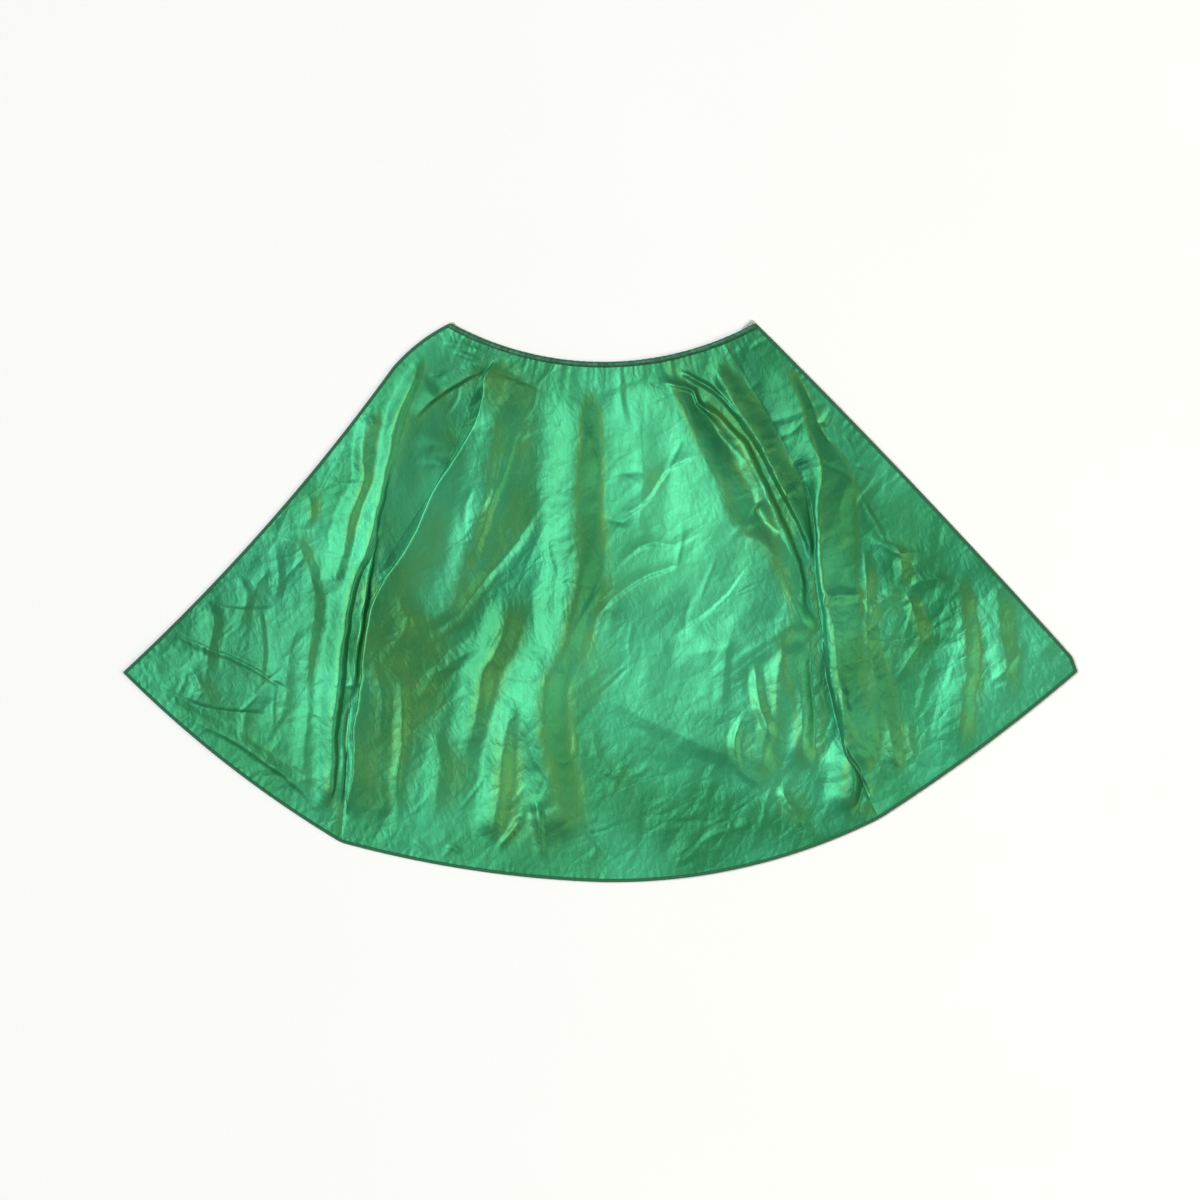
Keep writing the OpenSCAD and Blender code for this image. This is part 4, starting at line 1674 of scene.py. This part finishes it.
    def neck_binding(self) -> None:
        """Make the binding round the neck edge, and its row of stitches."""
        middle = inset(self.cut.neck(), self.binding / 2)
        fine = spread(middle, np.linspace(0, 1, 240))
        s = lengths(fine)
        z = 3.5 + 0.3 * np.sin(s / 11.0) + 0.25 * np.sin(s / 4.3 + 1)
        line = np.column_stack([fine, z])
        band = Band("neck_strip", line, self.binding, height=3.0, step=1.0, rib=7.0, depth=0.035)
        self.seat(band.build(self.strip), None, "binding", "neck_binding")
        row = spread(inset(self.cut.neck(), self.binding - 1.5), np.linspace(0.03, 0.97, 240))
        stitches = StitchRow("neck_stitches", [np.column_stack([row, z + 1.32])])
        self.seat(stitches.build(self.thread), None, "thread", "binding_stitching")

    def patches(self) -> None:
        """Make the hook patch and the loop patch."""
        for patch in (
            Patch(Side.LEFT, True, self.cut.left_tip, angle=210.0, peek=3.0),
            Patch(Side.RIGHT, False, self.cut.right_tip, angle=-46.4, peek=5.5),
        ):
            slot = "hook_tape" if patch.hooks else "loop_tape"
            tape = Tape().make(slot, 0.4 if patch.hooks else 0.75)
            piece, stitches = patch.build(tape, self.thread)
            self.seat(piece, None, slot, patch.label)
            self.seat(stitches, None, "thread", patch.label + "_stitching")


@dataclass
class Studio:
    """The table, the lights and the camera straight above.

    Attributes:
        reach: Half the side of the table.
        view_width: How much of the table the picture shows across.
        lens: The camera's lens.
    """

    reach: float = 4000.0
    view_width: float = 1260.0
    lens: float = 135.0

    def build(self) -> None:
        """Set everything up."""
        self.table()
        self.sky("key", (-0.53, 0.17, 0.83), 36.0, 2.9, (0.97, 1.0, 1.0))
        self.light("fill", (5.4, -1.2, 4.4), (0.0, 0.0, 0.0), (3.4, 3.4), 170, (1.0, 0.86, 0.58))
        world = bpy.data.worlds.new("room")
        world.use_nodes = True
        world.node_tree.nodes["Background"].inputs[0].default_value = (0.9, 0.95, 1.0, 1)
        world.node_tree.nodes["Background"].inputs[1].default_value = 0.2
        bpy.context.scene.world = world
        bpy.context.scene.view_settings.view_transform = "Standard"
        self.camera()

    def table(self) -> None:
        """The plain pale table."""
        r = self.reach
        points = np.array([(-r, -r, -0.4), (r, -r, -0.4), (r, r, -0.4), (-r, r, -0.4)])
        new_piece("table", points, [(0, 1, 2, 3)], Table().make())

    def light(
        self,
        name: str,
        place: tuple[float, float, float],
        target: tuple[float, float, float],
        size: tuple[float, float],
        power: float,
        colour: tuple[float, float, float],
    ) -> None:
        """Add a soft light.

        Args:
            name: Its name.
            place: Where it is, in metres.
            target: What it points at.
            size: Width and height of its face.
            power: Its power in watts.
            colour: Its colour.
        """
        data = bpy.data.lights.new(name, "AREA")
        data.shape = "RECTANGLE"
        data.size, data.size_y = size
        data.energy = power
        data.color = colour
        lamp = bpy.data.objects.new(name, data)
        lamp.location = place
        lamp.rotation_euler = (Vector(target) - Vector(place)).to_track_quat("-Z", "Y").to_euler()
        bpy.context.scene.collection.objects.link(lamp)

    def sky(
        self,
        name: str,
        towards: tuple[float, float, float],
        wide: float,
        power: float,
        colour: tuple[float, float, float],
    ) -> None:
        """Add a far, wide light that is the same over the whole cape.

        Args:
            name: Its name.
            towards: The direction it comes from.
            wide: How wide it looks, in degrees.
            power: Its strength in watts to the square metre.
            colour: Its colour.
        """
        data = bpy.data.lights.new(name, "SUN")
        data.angle = math.radians(wide)
        data.energy = power
        data.color = colour
        lamp = bpy.data.objects.new(name, data)
        lamp.location = tuple(5 * c for c in towards)
        lamp.rotation_euler = (-Vector(towards)).to_track_quat("-Z", "Y").to_euler()
        bpy.context.scene.collection.objects.link(lamp)

    def camera(self) -> None:
        """The camera straight above the middle of the cape."""
        data = bpy.data.cameras.new("camera")
        data.lens = self.lens
        data.sensor_width = 36.0
        data.clip_end = 30.0
        camera = bpy.data.objects.new("camera", data)
        height = self.view_width * MM * self.lens / 36.0
        camera.location = (0.0, 0.001, height)
        bpy.context.scene.collection.objects.link(camera)
        bpy.context.scene.camera = camera


def main() -> None:
    """Build the cape in order."""
    logging.basicConfig(level=logging.INFO, format="%(name)s: %(message)s")
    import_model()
    Studio().build()
    cape = Cape()
    cape.panels()
    cape.edges()
    cape.seams()
    cape.neck_binding()
    cape.patches()
    bpy.context.view_layer.update()


if __name__ == "__main__":
    main()
